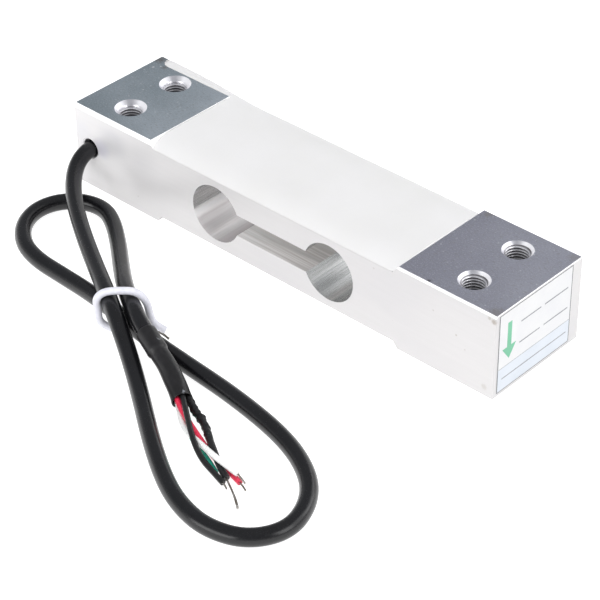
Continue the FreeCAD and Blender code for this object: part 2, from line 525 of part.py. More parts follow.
def dome_outline(name, sign):
    """What the pour's rounded long edge leaves out: an arc that starts level and falls to the recess's edge."""
    sk = sketch(pour, name, "YZ_Plane")
    crown = S["potting_level"] + S["dome_crown"]
    drop = crown.value - D["dome_edge"]
    radius = (D["dome_run"] ** 2 + drop ** 2) / (2 * drop)
    edge_y, level_y, out_y, up_z = wide * sign, (wide - S["dome_run"]) * sign, (wide + 1) * sign, high + 2
    a, b = Vector(edge_y.value, D["dome_edge"], 0), Vector(level_y.value, crown.value, 0)
    turn = math.asin(D["dome_run"] / radius)
    begin, end = (math.pi / 2, math.pi / 2 + turn) if sign < 0 else (math.pi / 2 - turn, math.pi / 2)
    circle = Part.Circle(Vector(level_y.value, crown.value - radius, 0), Vector(0, 0, 1), radius)
    sk.addGeometry(Part.ArcOfCircle(circle, begin, end), False)
    first, last = (2, 1) if sign < 0 else (1, 2)
    stops = [b, Vector(level_y.value, up_z.value, 0), Vector(out_y.value, up_z.value, 0), Vector(out_y.value, D["dome_edge"], 0), a]
    for p, q in zip(stops, stops[1:]):
        sk.addGeometry(Part.LineSegment(p, q), False)
    for one, two in (((0, last), (1, 1)), ((1, 2), (2, 1)), ((2, 2), (3, 1)), ((3, 2), (4, 1)), ((4, 2), (0, first))):
        sk.addConstraint(Sketcher.Constraint("Coincident", *one, *two))
    for geo, pos, x, y in ((0, first, edge_y, S["dome_edge"]), (0, last, level_y, crown), (1, 2, level_y, up_z),
                           (2, 2, out_y, up_z), (3, 2, out_y, S["dome_edge"])):
        bind(sk, geo, pos, x, y)
    index = sk.addConstraint(Sketcher.Constraint("DistanceX", -1, 1, 0, 3, level_y.value))
    sk.setExpression("Constraints[%d]" % index, level_y.text)
    return sk


pocket(pour, "FrontDome", dome_outline("FrontDomeOutline", -1))
pocket(pour, "BackDome", dome_outline("BackDomeOutline", 1))
primitive(pour, "AdditiveBox", "ExitFill",
          {"Length": S["exit_start"] - S["channel_end"], "Width": wide - S["exit_inner"], "Height": S["dome_edge"] - S["exit_floor"]},
          (-S["exit_start"], S["exit_inner"], S["exit_floor"]))
primitive(pour, "AdditiveBox", "ChannelFill",
          {"Length": S["slot_right"] + 1 - S["channel_end"], "Width": wide - S["channel_inner"], "Height": level - S["channel_floor"]},
          (-S["slot_right"] - 1, S["channel_inner"], S["channel_floor"]))
primitive(pour, "AdditiveBox", "SlotFill",
          {"Length": S["channel_start"] - S["slot_right"], "Width": wide - S["channel_inner"], "Height": level - S["slot_floor"]},
          (-S["channel_start"], S["channel_inner"], S["slot_floor"]))
slot_corner = edges_where(pour, lambda a, b: all(abs(q.x + D["channel_start"]) < 1e-3 and abs(q.y - D["channel_inner"]) < 1e-3 for q in (a, b)))
f = pour.newObject("PartDesign::Fillet", "SlotCorner")
f.Base = (pour.Group[-2] if pour.Tip == f else pour.Tip, slot_corner)
f.setExpression("Radius", "Dims.channel_round")
doc.recompute()
above = ["top_gauge_left", "top_gauge_right", "terminal_board", "zero_resistor", "span_resistor", "top_leads_left", "top_leads_right",
         "bottom_leads_left", "bottom_leads_right", "inner_core_red", "inner_core_black", "inner_core_green", "inner_core_white"]
keep(cut("TopPotting", pour, [nodes[n] for n in above]), "potting_top")

# lower potting: a thin sheet over the lower gauges, and the plug in the passage
sheet_low = box("LowSheet", [S["potting_low_length"], S["potting_low_width"], S["potting_low_depth"]],
                [-S["potting_low_length"] * 0.5 + 0.25, -S["potting_low_width"] * 0.5, S["recess_low"] - S["potting_low_depth"]])
plug = doc.addObject("Part::Cylinder", "PassagePlug")
plug.setExpression("Radius", "Dims.passage_radius")
plug.setExpression("Height", (floor_top - S["recess_low"] + S["potting_low_depth"]).text)
for prop, s in zip("xyz", (-S["passage_x"], -S["passage_y"], S["recess_low"] - S["potting_low_depth"])):
    plug.setExpression(".Placement.Base." + prop, s.text)
low = doc.addObject("Part::Fuse", "LowPour")
low.Base, low.Tool = sheet_low, plug
keep(cut("LowPotting", low, [nodes[n] for n in ("bottom_gauge_left", "bottom_gauge_right", "bottom_leads_left", "bottom_leads_right")]), "potting_bottom")

# seal: silicone round the cable's end and the cores inside the bore
seal = doc.addObject("Part::Cylinder", "BoreFill")
seal.Placement = Placement(Vector(), Rotation(Vector(0, 0, 1), Vector(0, 1, 0)))
seal.setExpression("Radius", "Dims.bore_radius")
seal.setExpression("Height", (S["seal_front"] + S["channel_inner"]).text)
for prop, s in zip("xyz", (-S["bore_x"], -S["seal_front"], S["bore_z"])):
    seal.setExpression(".Placement.Base." + prop, s.text)
keep(cut("CableSeal", seal, [nodes[n] for n in ("signal_cable", "inner_core_red", "inner_core_black", "inner_core_green", "inner_core_white")]), "cable_seal")

# ---------------------------------------------------------------- label on the load end face
keep(box("Label", [S["label_thick"], S["label_width"], S["label_height"]], [half, -S["label_edge"], S["label_low"]]), "rating_label")

# ---------------------------------------------------------------- checks and files
doc.recompute()
bad = [o.Name for o in doc.Objects if "Invalid" in o.State or "Error" in o.State]
if bad:
    raise RuntimeError("bad objects: %s" % bad)
os.makedirs("parts", exist_ok=True)
for name, obj in nodes.items():
    if obj.Shape.isNull() or not obj.Shape.isValid():
        raise RuntimeError("bad shape: %s" % name)
    obj.Shape.exportStep("parts/%s.step" % name)
    b = obj.Shape.BoundBox
    print("%s: %.2f mm3, x %.2f..%.2f y %.2f..%.2f z %.2f..%.2f, solids %d" % (
        name, obj.Shape.Volume, b.XMin, b.XMax, b.YMin, b.YMax, b.ZMin, b.ZMax, len(obj.Shape.Solids)))
print("%d sub-parts" % len(nodes))
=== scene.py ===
import bpy
import bmesh
import math
import random
import numpy as np
from mathutils import Matrix, Vector


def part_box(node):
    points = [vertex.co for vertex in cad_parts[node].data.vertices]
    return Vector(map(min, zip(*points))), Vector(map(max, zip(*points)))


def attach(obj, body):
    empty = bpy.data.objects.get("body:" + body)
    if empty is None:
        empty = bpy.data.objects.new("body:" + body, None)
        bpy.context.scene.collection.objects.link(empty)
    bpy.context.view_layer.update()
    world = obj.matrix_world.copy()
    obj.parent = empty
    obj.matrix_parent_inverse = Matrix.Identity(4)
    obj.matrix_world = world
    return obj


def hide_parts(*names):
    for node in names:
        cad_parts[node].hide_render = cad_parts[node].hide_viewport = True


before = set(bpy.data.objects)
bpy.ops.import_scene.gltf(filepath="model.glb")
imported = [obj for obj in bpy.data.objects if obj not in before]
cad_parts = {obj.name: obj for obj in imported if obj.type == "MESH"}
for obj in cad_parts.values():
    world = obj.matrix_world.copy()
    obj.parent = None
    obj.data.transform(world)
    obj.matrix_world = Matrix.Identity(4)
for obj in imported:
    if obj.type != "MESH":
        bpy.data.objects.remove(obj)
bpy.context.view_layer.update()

MM = 0.001
scene = bpy.context.scene
rng = random.Random(7)

# ------------------------------------------------------------------ camera
cam_data = bpy.data.cameras.new("camera")
cam_data.sensor_width = 36.0
cam_data.lens = 132.6676
cam_data.clip_start, cam_data.clip_end = 0.01, 20.0
camera = bpy.data.objects.new("camera", cam_data)
scene.collection.objects.link(camera)
right = Vector((0.7349920807860664, 0.6779956673794083, -0.010417110756824555))
down = Vector((0.3950569654039129, -0.44065281861093636, -0.8060738722574312))
ahead = Vector((-0.5511049221950579, 0.5883425604739034, -0.5917232429670067))
place = Vector((287.6584384, -312.6229951, 298.4877814)) * MM
camera.matrix_world = Matrix(((right.x, -down.x, -ahead.x, place.x), (right.y, -down.y, -ahead.y, place.y),
                              (right.z, -down.z, -ahead.z, place.z), (0, 0, 0, 1)))
scene.camera = camera


# ------------------------------------------------------------------ node material helper
class Nodes:
    """Short names for the shader nodes of one material."""

    def __init__(self, name):
        self.mat = bpy.data.materials.new(name)
        self.mat.use_nodes = True
        self.tree = self.mat.node_tree
        self.tree.nodes.clear()
        self.out = self.tree.nodes.new("ShaderNodeOutputMaterial")
        self.bsdf = self.tree.nodes.new("ShaderNodeBsdfPrincipled")
        self.tree.links.new(self.bsdf.outputs[0], self.out.inputs[0])
        self.pos = self.tree.nodes.new("ShaderNodeTexCoord").outputs["Object"]

    def node(self, kind, **props):
        n = self.tree.nodes.new(kind)
        for k, v in props.items():
            setattr(n, k, v)
        return n

    def link(self, a, b):
        self.tree.links.new(a, b)

    def put(self, socket, value):
        if hasattr(value, "node"):
            self.link(value, socket)
        else:
            socket.default_value = value

    def scaled(self, sx, sy, sz, vec=None, rot=(0, 0, 0)):
        m = self.node("ShaderNodeMapping")
        m.inputs["Scale"].default_value = (sx, sy, sz)
        m.inputs["Rotation"].default_value = rot
        self.link(vec or self.pos, m.inputs["Vector"])
        return m.outputs[0]

    def noise(self, vec, scale=1.0, detail=4.0, rough=0.55, distort=0.0):
        n = self.node("ShaderNodeTexNoise")
        self.link(vec, n.inputs["Vector"])
        n.inputs["Scale"].default_value = scale
        n.inputs["Detail"].default_value = detail
        n.inputs["Roughness"].default_value = rough
        n.inputs["Distortion"].default_value = distort
        return n.outputs["Fac"]

    def cells(self, vec, scale=1.0):
        n = self.node("ShaderNodeTexVoronoi")
        self.link(vec, n.inputs["Vector"])
        n.inputs["Scale"].default_value = scale
        return n.outputs["Distance"]

    def math(self, op, a, b=0.0, c=None, clamp=False):
        n = self.node("ShaderNodeMath", operation=op, use_clamp=clamp)
        self.put(n.inputs[0], a)
        self.put(n.inputs[1], b)
        if c is not None:
            self.put(n.inputs[2], c)
        return n.outputs[0]

    def remap(self, value, a, b, c, d, smooth=False):
        n = self.node("ShaderNodeMapRange")
        n.interpolation_type = "SMOOTHSTEP" if smooth else "LINEAR"
        self.link(value, n.inputs[0])
        for i, v in enumerate((a, b, c, d)):
            n.inputs[i + 1].default_value = v
        return n.outputs[0]

    def mix(self, fac, a, b):
        n = self.node("ShaderNodeMix", data_type="RGBA")
        self.put(n.inputs[0], fac)
        for i, v in ((6, a), (7, b)):
            self.put(n.inputs[i], (*v, 1.0) if isinstance(v, tuple) and len(v) == 3 else v)
        return n.outputs[2]

    def axis(self, which):
        n = self.node("ShaderNodeSeparateXYZ")
        self.link(self.pos, n.inputs[0])
        return n.outputs[which]

    def bump(self, height, strength, distance, normal=None):
        n = self.node("ShaderNodeBump")
        n.inputs["Strength"].default_value = strength
        n.inputs["Distance"].default_value = distance
        self.link(height, n.inputs["Height"])
        if normal is not None:
            self.link(normal, n.inputs["Normal"])
        return n.outputs[0]

    def set(self, **inputs):
        for k, v in inputs.items():
            name = k.replace("_", " ")
            if isinstance(v, tuple) and len(v) == 3 and name.endswith("Color"):
                v = (*v, 1.0)
            self.put(self.bsdf.inputs[name], v)
        return self


def srgb(r, g, b):
    f = lambda c: (c / 255 / 12.92) if c <= 10 else ((c / 255 + 0.055) / 1.055) ** 2.4
    return (f(r), f(g), f(b))


# ------------------------------------------------------------------ routes of the cable and its wires (mm)
CABLE = [
    (-60.2, -10.6, 11.0), (-60.2, -13.9, 11.0), (-60.5, -17.5, 10.1), (-59.2, -21.2, 8.5), (-55.2, -25.7, 7.4),
    (-48.5, -31.1, 6.8), (-38.2, -37.8, 6.7), (-27.3, -44.4, 7.1), (-17.6, -50.2, 8.0), (-9.4, -55.1, 7.9), (-1.9, -58.8, 4.3),
    (8.2, -65.1, 2.0), (22.5, -75.4, 2.0), (33.3, -82.1, 2.0), (41.2, -85.4, 2.0), (49.6, -86.6, 2.0), (58.0, -83.7, 2.0),
    (62.3, -76.2, 2.0), (60.0, -67.9, 2.0), (54.3, -61.3, 2.0), (43.1, -55.9, 2.0), (25.9, -52.9, 2.0), (9.1, -52.0, 2.3),
    (-2.7, -52.4, 3.8), (-13.5, -50.7, 4.0), (-25.1, -48.3, 2.7), (-36.1, -47.3, 2.0), (-44.7, -47.0, 2.0), (-52.2, -44.8, 2.0),
    (-58.2, -39.6, 2.0), (-60.7, -33.0, 2.0), (-59.1, -26.9, 2.0), (-54.4, -22.9, 2.0), (-48.3, -22.0, 2.0), (-42.2, -24.9, 2.0),
    (-33.6, -31.4, 2.8), (-24.7, -38.9, 4.9), (-16.7, -45.3, 7.1), (-9.3, -50.3, 8.5), (-1.6, -54.5, 8.4), (5.4, -56.5, 6.35)]
WIRES = {
    "core_red": [(5.22, -57.63, 6.84), (9.69, -58.91, 5.5), (14.0, -60.97, 3.99), (17.65, -62.9, 3.22), (19.91, -64.05, 2.62), (22.71, -65.26, 2.35),
                 (26.29, -66.57, 1.92), (30.41, -67.76, 0.86), (34.74, -69.06, 0.67), (39.47, -70.02, 0.72), (44.1, -71.27, 0.83)],
    "core_white": [(4.93, -57.25, 5.48), (9.41, -58.5, 4.15), (13.82, -60.56, 2.62), (17.45, -62.59, 1.79), (19.2, -63.99, 1.43), (21.6, -65.8, 1.25),
                   (25.36, -67.92, 1.84), (30.78, -69.2, 2.42), (36.0, -70.9, 3.46), (40.13, -71.16, 3.17), (43.14, -70.8, 2.29)],
    "core_black": [(5.75, -56.51, 7.54), (10.31, -57.84, 6.21), (14.71, -59.96, 4.7), (18.36, -61.95, 3.94), (21.33, -64.17, 3.83), (24.43, -66.48, 3.63),
                   (27.86, -68.98, 3.59), (31.2, -71.03, 2.9), (34.6, -72.35, 1.91), (38.28, -73.22, 1.69), (42.0, -74.06, 1.32)],
    "core_green": [(5.28, -55.86, 5.3), (9.86, -57.15, 3.97), (14.43, -59.26, 2.44), (18.0, -61.42, 1.24), (20.15, -62.93, 0.95), (22.76, -64.78, 0.82),
                   (26.19, -67.51, 0.67), (30.54, -69.39, 0.75), (34.49, -70.73, 0.91), (37.98, -72.21, 0.67)],
    "drain_sleeve": [(5.8, -55.35, 6.6), (10.44, -56.69, 5.27), (15.0, -58.85, 3.75), (18.86, -60.65, 3.05), (21.09, -61.7, 2.13), (23.22, -62.26, 1.72),
                     (26.16, -63.39, 1.62), (29.96, -65.97, 1.79), (34.09, -68.74, 2.32), (37.87, -70.97, 1.81), (41.34, -72.4, 1.06)],
}
SLEEVE = [(5.4, -56.5, 6.35), (9.95, -57.8, 5.02), (14.4, -59.9, 3.5), (18.1, -61.9, 2.7)]
TIE = [
    (-4.2, -45.15, 0.89), (-6.18, -46.73, 2.25), (-6.82, -47.24, 5.38), (-7.2, -47.54, 8.78), (-8.92, -48.91, 11.43), (-11.83, -51.22, 11.4),
    (-14.56, -53.39, 10.97), (-16.14, -54.65, 8.96), (-15.87, -54.43, 5.87), (-15.85, -54.42, 2.69), (-14.0, -52.95, 0.89),
    (-11.46, -50.93, 1.02), (-9.01, -48.98, 0.89), (-6.6, -47.9, 1.2), (-4.9, -48.2, 1.9)]


def spline(name, points, radius, sides=12, around=12, scales=None):
    """A cord: one smooth open NURBS spline with these control points, in mm."""
    data = bpy.data.curves.new(name, "CURVE")
    data.dimensions = "3D"
    s = data.splines.new("NURBS")
    s.points.add(len(points) - 1)
    for i, p in enumerate(points):
        s.points[i].co = (p[0] * MM, p[1] * MM, p[2] * MM, 1.0)
        if scales:
            s.points[i].radius = scales.get(i, 1.0)
    s.order_u = 3
    s.use_endpoint_u = True
    data.resolution_u = around
    data.bevel_depth = radius * MM
    data.bevel_resolution = sides
    data.use_fill_caps = True
    obj = bpy.data.objects.new(name, data)
    scene.collection.objects.link(obj)
    return obj


def line_of(points, around=16):
    """The points that a spline's own line runs through, in mm, read from a curve with no bevel."""
    probe = spline("probe", points, 0.0, 0, around)
    probe.data.use_fill_caps = False
    bpy.context.view_layer.update()
    mesh = bpy.data.meshes.new_from_object(probe.evaluated_get(bpy.context.evaluated_depsgraph_get()))
    got = [Vector(v.co) / MM for v in mesh.vertices]
    curve = probe.data
    bpy.data.objects.remove(probe)
    bpy.data.curves.remove(curve)
    bpy.data.meshes.remove(mesh)
    return got


cable = spline("cable", CABLE, 2.0, 10, 14)
wires = {name: spline(name + "_wire", pts, 0.78 if name == "drain_sleeve" else 0.65, 6, 10) for name, pts in WIRES.items()}


# ------------------------------------------------------------------ mesh helpers
def mesh_object(name, verts, faces, smooth=True, materials=(), face_mats=None):
    """A mesh from points in mm."""
    data = bpy.data.meshes.new(name)
    data.from_pydata([(v[0] * MM, v[1] * MM, v[2] * MM) for v in verts], [], faces)
    for m in materials:
        data.materials.append(m)
    if face_mats:
        data.polygons.foreach_set("material_index", face_mats)
    data.polygons.foreach_set("use_smooth", [smooth] * len(data.polygons))
    data.update()
    data.validate()
    obj = bpy.data.objects.new(name, data)
    scene.collection.objects.link(obj)
    return obj


def frames_along(path):
    """A pair of side directions at each point of a path, turned as little as possible."""
    tangents = []
    for i in range(len(path)):
        t = path[min(i + 1, len(path) - 1)] - path[max(i - 1, 0)]
        tangents.append(t.normalized())
    side = tangents[0].cross(Vector((0, 0, 1))).normalized()
    out = []
    for t in tangents:
        side = (side - t * side.dot(t)).normalized()
        out.append((t, side, t.cross(side)))
    return out


def skin(path, radii, sides=32, shape=None, closed_start=False, closed_end=False):
    """Verts and faces of a tube of changing radius. shape(i, k, angle) may add to the radius."""
    fr = frames_along(path)
    verts, faces = [], []
    for i, p in enumerate(path):
        t, a, b = fr[i]
        for k in range(sides):
            w = 2 * math.pi * k / sides
            r = radii[i] + (shape(i, k, w) if shape else 0.0)
            verts.append(p + (a * math.cos(w) + b * math.sin(w)) * r)
    for i in range(len(path) - 1):
        for k in range(sides):
            k2 = (k + 1) % sides
            faces.append((i * sides + k, i * sides + k2, (i + 1) * sides + k2, (i + 1) * sides + k))
    if closed_start:
        faces.append(tuple(range(sides - 1, -1, -1)))
    if closed_end:
        n = (len(path) - 1) * sides
        faces.append(tuple(range(n, n + sides)))
    return verts, faces


def resample(path, step):
    """Points an even step apart along a path."""
    out, left = [path[0].copy()], step
    for a, b in zip(path, path[1:]):
        d = (b - a).length
        while d > left:
            a = a + (b - a) * (left / d)
            out.append(a.copy())
            d -= left
            left = step
        left -= d
    return out


# ------------------------------------------------------------------ materials
def metal_side():
    """Milled and blasted aluminium of the long sides and ends: pale, satin, nearly even, with a few tiny pits; painted
    shade and painted light in soft patches on the front face's cable end.
    """
    n = Nodes("aluminium_side")
    lines = n.noise(n.scaled(70, 1500, 1500), 1.0, 4, 0.55)
    cloud = n.noise(n.scaled(30, 40, 60, rot=(0, 0.5, 0)), 1.0, 3, 0.5)
    grain = n.noise(n.pos, 5200, 2, 0.5)
    tone = n.mix(n.remap(lines, 0.3, 0.7, 0, 1), SIDE_LOW, SIDE_HIGH)
    tone = n.mix(n.math("MULTIPLY", n.remap(cloud, 0.40, 0.75, 0, 1, True), 0.5), tone, SIDE_CLOUD)
    # painted light: a fixed lighter patch over the left part of the front face
    pale = n.math("MULTIPLY", n.remap(n.axis(0), -0.010, -0.048, 0, 1, True), n.remap(n.axis(1), -0.0146, -0.0149, 0, 1))
    tone = n.mix(n.math("MULTIPLY", pale, 0.26), tone, srgb(244, 243, 243))
    # painted shade and painted light: soft fixed patches on the front face, a violet-grey painted reflection of the
    # cable right of its hole, grey painted shade clouds and one lighter painted light patch lower down
    for x, z, r, keep, shade in PAINTED_SHADE_AND_LIGHT:
        d = n.node("ShaderNodeVectorMath", operation="DISTANCE")
        n.link(n.scaled(1.0, 1.0, 1.0), d.inputs[0])
        d.inputs[1].default_value = (x * MM, -15 * MM, z * MM)
        soft = n.math("ADD", d.outputs["Value"], n.remap(cloud, 0.3, 0.7, -0.35 * r * MM, 0.35 * r * MM))
        tone = n.mix(n.math("MULTIPLY", n.remap(soft, r * MM, 0.1 * r * MM, 0, 1, True), keep), tone, srgb(*shade))
    mark = n.math("MULTIPLY", n.remap(n.cells(n.pos, 330), 0.0, 0.055, 1, 0), n.remap(n.noise(n.pos, 160, 2), 0.60, 0.66, 0, 1), clamp=True)
    tone = n.mix(n.math("MULTIPLY", mark, 0.5), tone, srgb(128, 122, 118))
    # small brown rubs and two pecks near the load end's front corner, and the shallow dings lower on the front
    dent = None
    for x, z, r, keep in MARKS:
        d = n.node("ShaderNodeVectorMath", operation="DISTANCE")
        n.link(n.pos, d.inputs[0])
        d.inputs[1].default_value = (x * MM, -15 * MM, z * MM)
        ragged = n.math("ADD", d.outputs["Value"], n.remap(grain, 0.2, 0.8, -0.35 * r * MM, 0.35 * r * MM))
        spot = n.math("MULTIPLY", n.remap(ragged, r * MM, 0.35 * r * MM, 0, 1, True), keep)
        dent = spot if dent is None else n.math("MAXIMUM", dent, spot)
    tone = n.mix(dent, tone, srgb(150, 140, 128))
    rough = n.math("ADD", n.remap(lines, 0.2, 0.8, 0.35, 0.36), n.remap(grain, 0.3, 0.7, -0.02, 0.04))
    n.set(Base_Color=tone, Metallic=0.20, Roughness=rough)
    h = n.math("ADD", n.math("MULTIPLY", lines, 0.08), n.math("MULTIPLY", grain, 0.35))
    h = n.math("SUBTRACT", h, n.math("MULTIPLY", n.math("MAXIMUM", mark, dent), 1.0))
    n.set(Normal=n.bump(h, 0.14, 0.00003))
    return n.mat


def metal_edge_painted_highlight():
    """Chamfers and the recess's ramps: the brightest metal on the bar, a near-white copy of the aluminium that is
    painted highlight for the light these edges catch.
    """
    n = Nodes("aluminium_edge_painted_highlight")
    lines = n.noise(n.scaled(900, 900, 2600), 1.0, 3, 0.6)
    rub = n.noise(n.pos, 240, 3, 0.6)
    # painted highlight: a near-white base for the edges
    tone = n.mix(n.remap(lines, 0.3, 0.7, 0, 1), srgb(246, 246, 246), srgb(253, 253, 253))
    tone = n.mix(n.math("MULTIPLY", n.remap(rub, 0.62, 0.76, 0, 1), 0.45), tone, srgb(206, 203, 198))
    n.set(Base_Color=tone, Metallic=0.05, Roughness=n.remap(lines, 0.3, 0.7, 0.26, 0.38))
    n.set(Normal=n.bump(rub, 0.2, 0.00004))
    return n.mat


def metal_low_painted_shade():
    """Breaks round the underside and the cable end: a darker copy of the side's metal, painted shade on these edges,
    with rubbed spots.
    """
    n = Nodes("aluminium_low_edge_painted_shade")
    grain = n.noise(n.scaled(500, 500, 1200), 1.0, 3, 0.6)
    rub = n.noise(n.pos, 190, 3, 0.6)
    # painted shade: a darker base than the side's
    tone = n.mix(n.remap(grain, 0.3, 0.7, 0, 1), srgb(176, 174, 174), srgb(188, 186, 186))
    tone = n.mix(n.math("MULTIPLY", n.remap(rub, 0.56, 0.72, 0, 1), 0.6), tone, srgb(148, 142, 134))
    n.set(Base_Color=tone, Metallic=0.1, Roughness=n.remap(grain, 0.3, 0.7, 0.42, 0.5))
    n.set(Normal=n.bump(rub, 0.15, 0.00003))
    return n.mat


def metal_pad(name, dark, light, warm, shift):
    """Ground pad faces: darker grey, cloudy, with a painted reflection gradient across the face, fine speckle, short
    scratches and a warm tint towards the corners.
    """
    n = Nodes(name)
    speck = n.noise(n.pos, 3000, 3, 0.62)
    fine = n.noise(n.scaled(900, 3800, 1000), 1.0, 3, 0.6)
    wide = n.noise(n.scaled(1, 1, 1, rot=(0, 0, 0.6)), 60, 3, 0.55)
    # painted reflection: a fixed brightness gradient across the pad, placed by shift
    along = n.math("ADD", n.math("MULTIPLY", n.axis(0), 22.0), n.math("MULTIPLY", n.axis(1), 10.0))
    mixw = n.math("ADD", n.remap(wide, 0.3, 0.7, -0.28, 0.28), n.math("ADD", along, shift))
    tone = n.mix(n.math("ADD", mixw, 0.0, clamp=True), dark, light)
    tone = n.mix(n.math("MULTIPLY", n.remap(speck, 0.52, 0.70, 0, 1), 0.62), tone, srgb(228, 232, 236))
    tone = n.mix(n.math("MULTIPLY", n.remap(fine, 0.48, 0.30, 0, 1), 0.45), tone, warm)
    dots = n.math("MULTIPLY", n.remap(n.cells(n.pos, 640), 0.02, 0.19, 1, 0), n.remap(n.noise(n.pos, 260, 1), 0.45, 0.56, 0, 1), clamp=True)
    tone = n.mix(n.math("MULTIPLY", dots, 0.7), tone, srgb(244, 246, 248))
    scr = n.noise(n.scaled(240, 5200, 900, rot=(0, 0, 0.5)), 1.0, 2, 0.5, 0.4)
    tone = n.mix(n.math("MULTIPLY", n.remap(scr, 0.70, 0.76, 0, 1), 0.35), tone, srgb(236, 238, 240))
    for x, y, r, keep, shade in PAD_MARKS:
        d = n.node("ShaderNodeVectorMath", operation="DISTANCE")
        n.link(n.pos, d.inputs[0])
        d.inputs[1].default_value = (x * MM, y * MM, 22 * MM)
        ragged = n.math("ADD", d.outputs["Value"], n.remap(fine, 0.2, 0.8, -0.5 * r * MM, 0.5 * r * MM))
        tone = n.mix(n.math("MULTIPLY", n.remap(ragged, r * MM, 0.2 * r * MM, 0, 1, True), keep), tone, srgb(*shade))
    n.set(Base_Color=tone, Metallic=0.85, Roughness=n.remap(speck, 0.3, 0.7, 0.28, 0.46))
    n.set(Normal=n.bump(n.math("ADD", speck, n.math("MULTIPLY", fine, 0.6)), 0.32, 0.00003))
    return n.mat


def metal_bore(name, long_axis):
    """Inside of the cut-out: bright cut metal with streaks along the bar's width in the holes, along its length in the
    slot; in the holes, sectors of painted shade and painted highlight.
    """
    n = Nodes(name)
    if long_axis == "y":
        streak = n.noise(n.scaled(2600, 30, 2600), 1.0, 3, 0.62)
        cross = n.noise(n.scaled(240, 4200, 240), 1.0, 3, 0.6)
        wide = n.noise(n.scaled(420, 14, 420), 1.0, 2, 0.5)
    else:
        streak = n.noise(n.scaled(40, 2400, 400), 1.0, 4, 0.66)
        cross = n.noise(n.scaled(3600, 200, 240), 1.0, 3, 0.6)
        wide = n.noise(n.scaled(34, 640, 100), 1.0, 2, 0.5)
    tone = n.mix(n.remap(streak, 0.36, 0.64, 0, 1), BORE_LOW if long_axis == "y" else srgb(222, 217, 214), BORE_HIGH)
    tone = n.mix(n.math("MULTIPLY", n.remap(wide, 0.46, 0.62, 0, 1), 0.55), tone, BORE_WIDE)
    if long_axis == "y":
        # painted shade and painted highlight: a grey upper sector and a bright pinkish lower sector in the left hole,
        # and the right hole darker throughout
        left = n.remap(n.axis(0), 0.0, -0.001, 0, 1)
        above = n.remap(n.math("ADD", n.axis(2), n.remap(wide, 0.3, 0.7, -0.0004, 0.0004)), 0.0084, 0.0092, 0, 1, True)
        tone = n.mix(n.math("MULTIPLY", n.math("MULTIPLY", above, left), 0.30), tone, srgb(146, 152, 148))
        tone = n.mix(n.math("MULTIPLY", n.math("MULTIPLY", n.math("SUBTRACT", 1.0, above, clamp=True), left), 0.7), tone, srgb(255, 250, 251))
        tone = n.mix(n.math("MULTIPLY", n.math("SUBTRACT", 1.0, left, clamp=True), 0.25), tone, srgb(170, 174, 174))
    scr = n.noise(n.scaled(2600, 2600, 160, rot=(0.5, 0.3, 0)), 1.0, 2, 0.5)
    tone = n.mix(n.math("MULTIPLY", n.remap(scr, 0.71, 0.76, 0, 1), 0.35), tone, srgb(252, 252, 252))
    # painted highlight along a crest in the left hole's bright sector, a painted shade band beside it, and a streaky
    # tint; the bright sector is also made less metallic
    if long_axis == "y":
        pale = n.math("MULTIPLY", n.math("SUBTRACT", 1.0, above, clamp=True), left)
        crest = n.math("MULTIPLY", pale, n.remap(n.axis(2), 0.0066, 0.0082, 0, 1, True))
        painted_shade_band = n.math("MULTIPLY", pale, n.remap(n.math("ADD", n.axis(0), n.remap(wide, 0.3, 0.7, -0.0006, 0.0006)), BORE_X, BORE_X + 0.0022, 0, 1, True))
        tone = n.mix(n.math("MULTIPLY", painted_shade_band, 0.45), tone, srgb(168, 162, 162))
        tone = n.mix(n.math("MULTIPLY", n.math("MULTIPLY", pale, n.remap(streak, 0.44, 0.62, 0, 1)), 0.35), tone, srgb(206, 196, 198))
        tone = n.mix(crest, tone, srgb(255, 254, 254))
        n.set(Metallic=n.math("SUBTRACT", 0.86, n.math("ADD", n.math("MULTIPLY", pale, 0.30), n.math("MULTIPLY", crest, 0.28))))
    else:
        n.set(Metallic=n.remap(n.axis(0), -0.016, 0.012, 0.30, 0.60))
    n.set(Base_Color=tone, Roughness=n.remap(cross, 0.3, 0.7, 0.18, 0.24))
    n.set(Normal=n.bump(streak, 0.05, 0.00002))
    return n.mat


def cone_painted_light(n):
    """Painted shade on a turned cone, a sector and one flank, and painted highlight on the other flank, each 0 to 1."""
    ox = n.math("SUBTRACT", n.axis(0), n.math("MULTIPLY", n.math("SIGN", n.axis(0)), 0.053))
    oy = n.math("SUBTRACT", n.axis(1), n.math("MULTIPLY", n.math("SIGN", n.axis(1)), 0.0075))
    r = n.math("SQRT", n.math("ADD", n.math("MULTIPLY", ox, ox), n.math("MULTIPLY", oy, oy)))
    t = n.math("DIVIDE", n.math("ADD", n.math("MULTIPLY", ox, 0.735), n.math("MULTIPLY", oy, 0.678)), r)
    mid = n.remap(n.math("ABSOLUTE", n.math("ADD", t, 0.12)), 0.36, 0.10, 0, 1, True)
    flank = n.remap(t, -0.72, -0.96, 0, 0.7, True)
    return n.math("MAXIMUM", mid, flank), n.remap(t, 0.20, 0.60, 0, 1, True)


def metal_sink():
    """Countersinks: smooth turned cones, with painted shade and painted highlight on their walls."""
    n = Nodes("aluminium_cut")
    fine = n.noise(n.pos, 1800, 3, 0.6)
    tone = n.mix(n.remap(fine, 0.3, 0.7, 0, 1), srgb(228, 227, 232), srgb(240, 239, 243))
    # painted shade on the cone's middle and one flank, painted highlight on the other flank
    painted_shade, pale = cone_painted_light(n)
    tone = n.mix(n.math("MULTIPLY", painted_shade, 0.36), tone, srgb(150, 150, 160))
    tone = n.mix(pale, tone, srgb(246, 245, 248))
    n.set(Base_Color=tone, Metallic=n.math("SUBTRACT", 0.85, n.math("MULTIPLY", pale, 0.45)), Roughness=n.remap(fine, 0.3, 0.7, 0.33, 0.37))
    n.set(Normal=n.bump(fine, 0.03, 0.00001))
    return n.mat


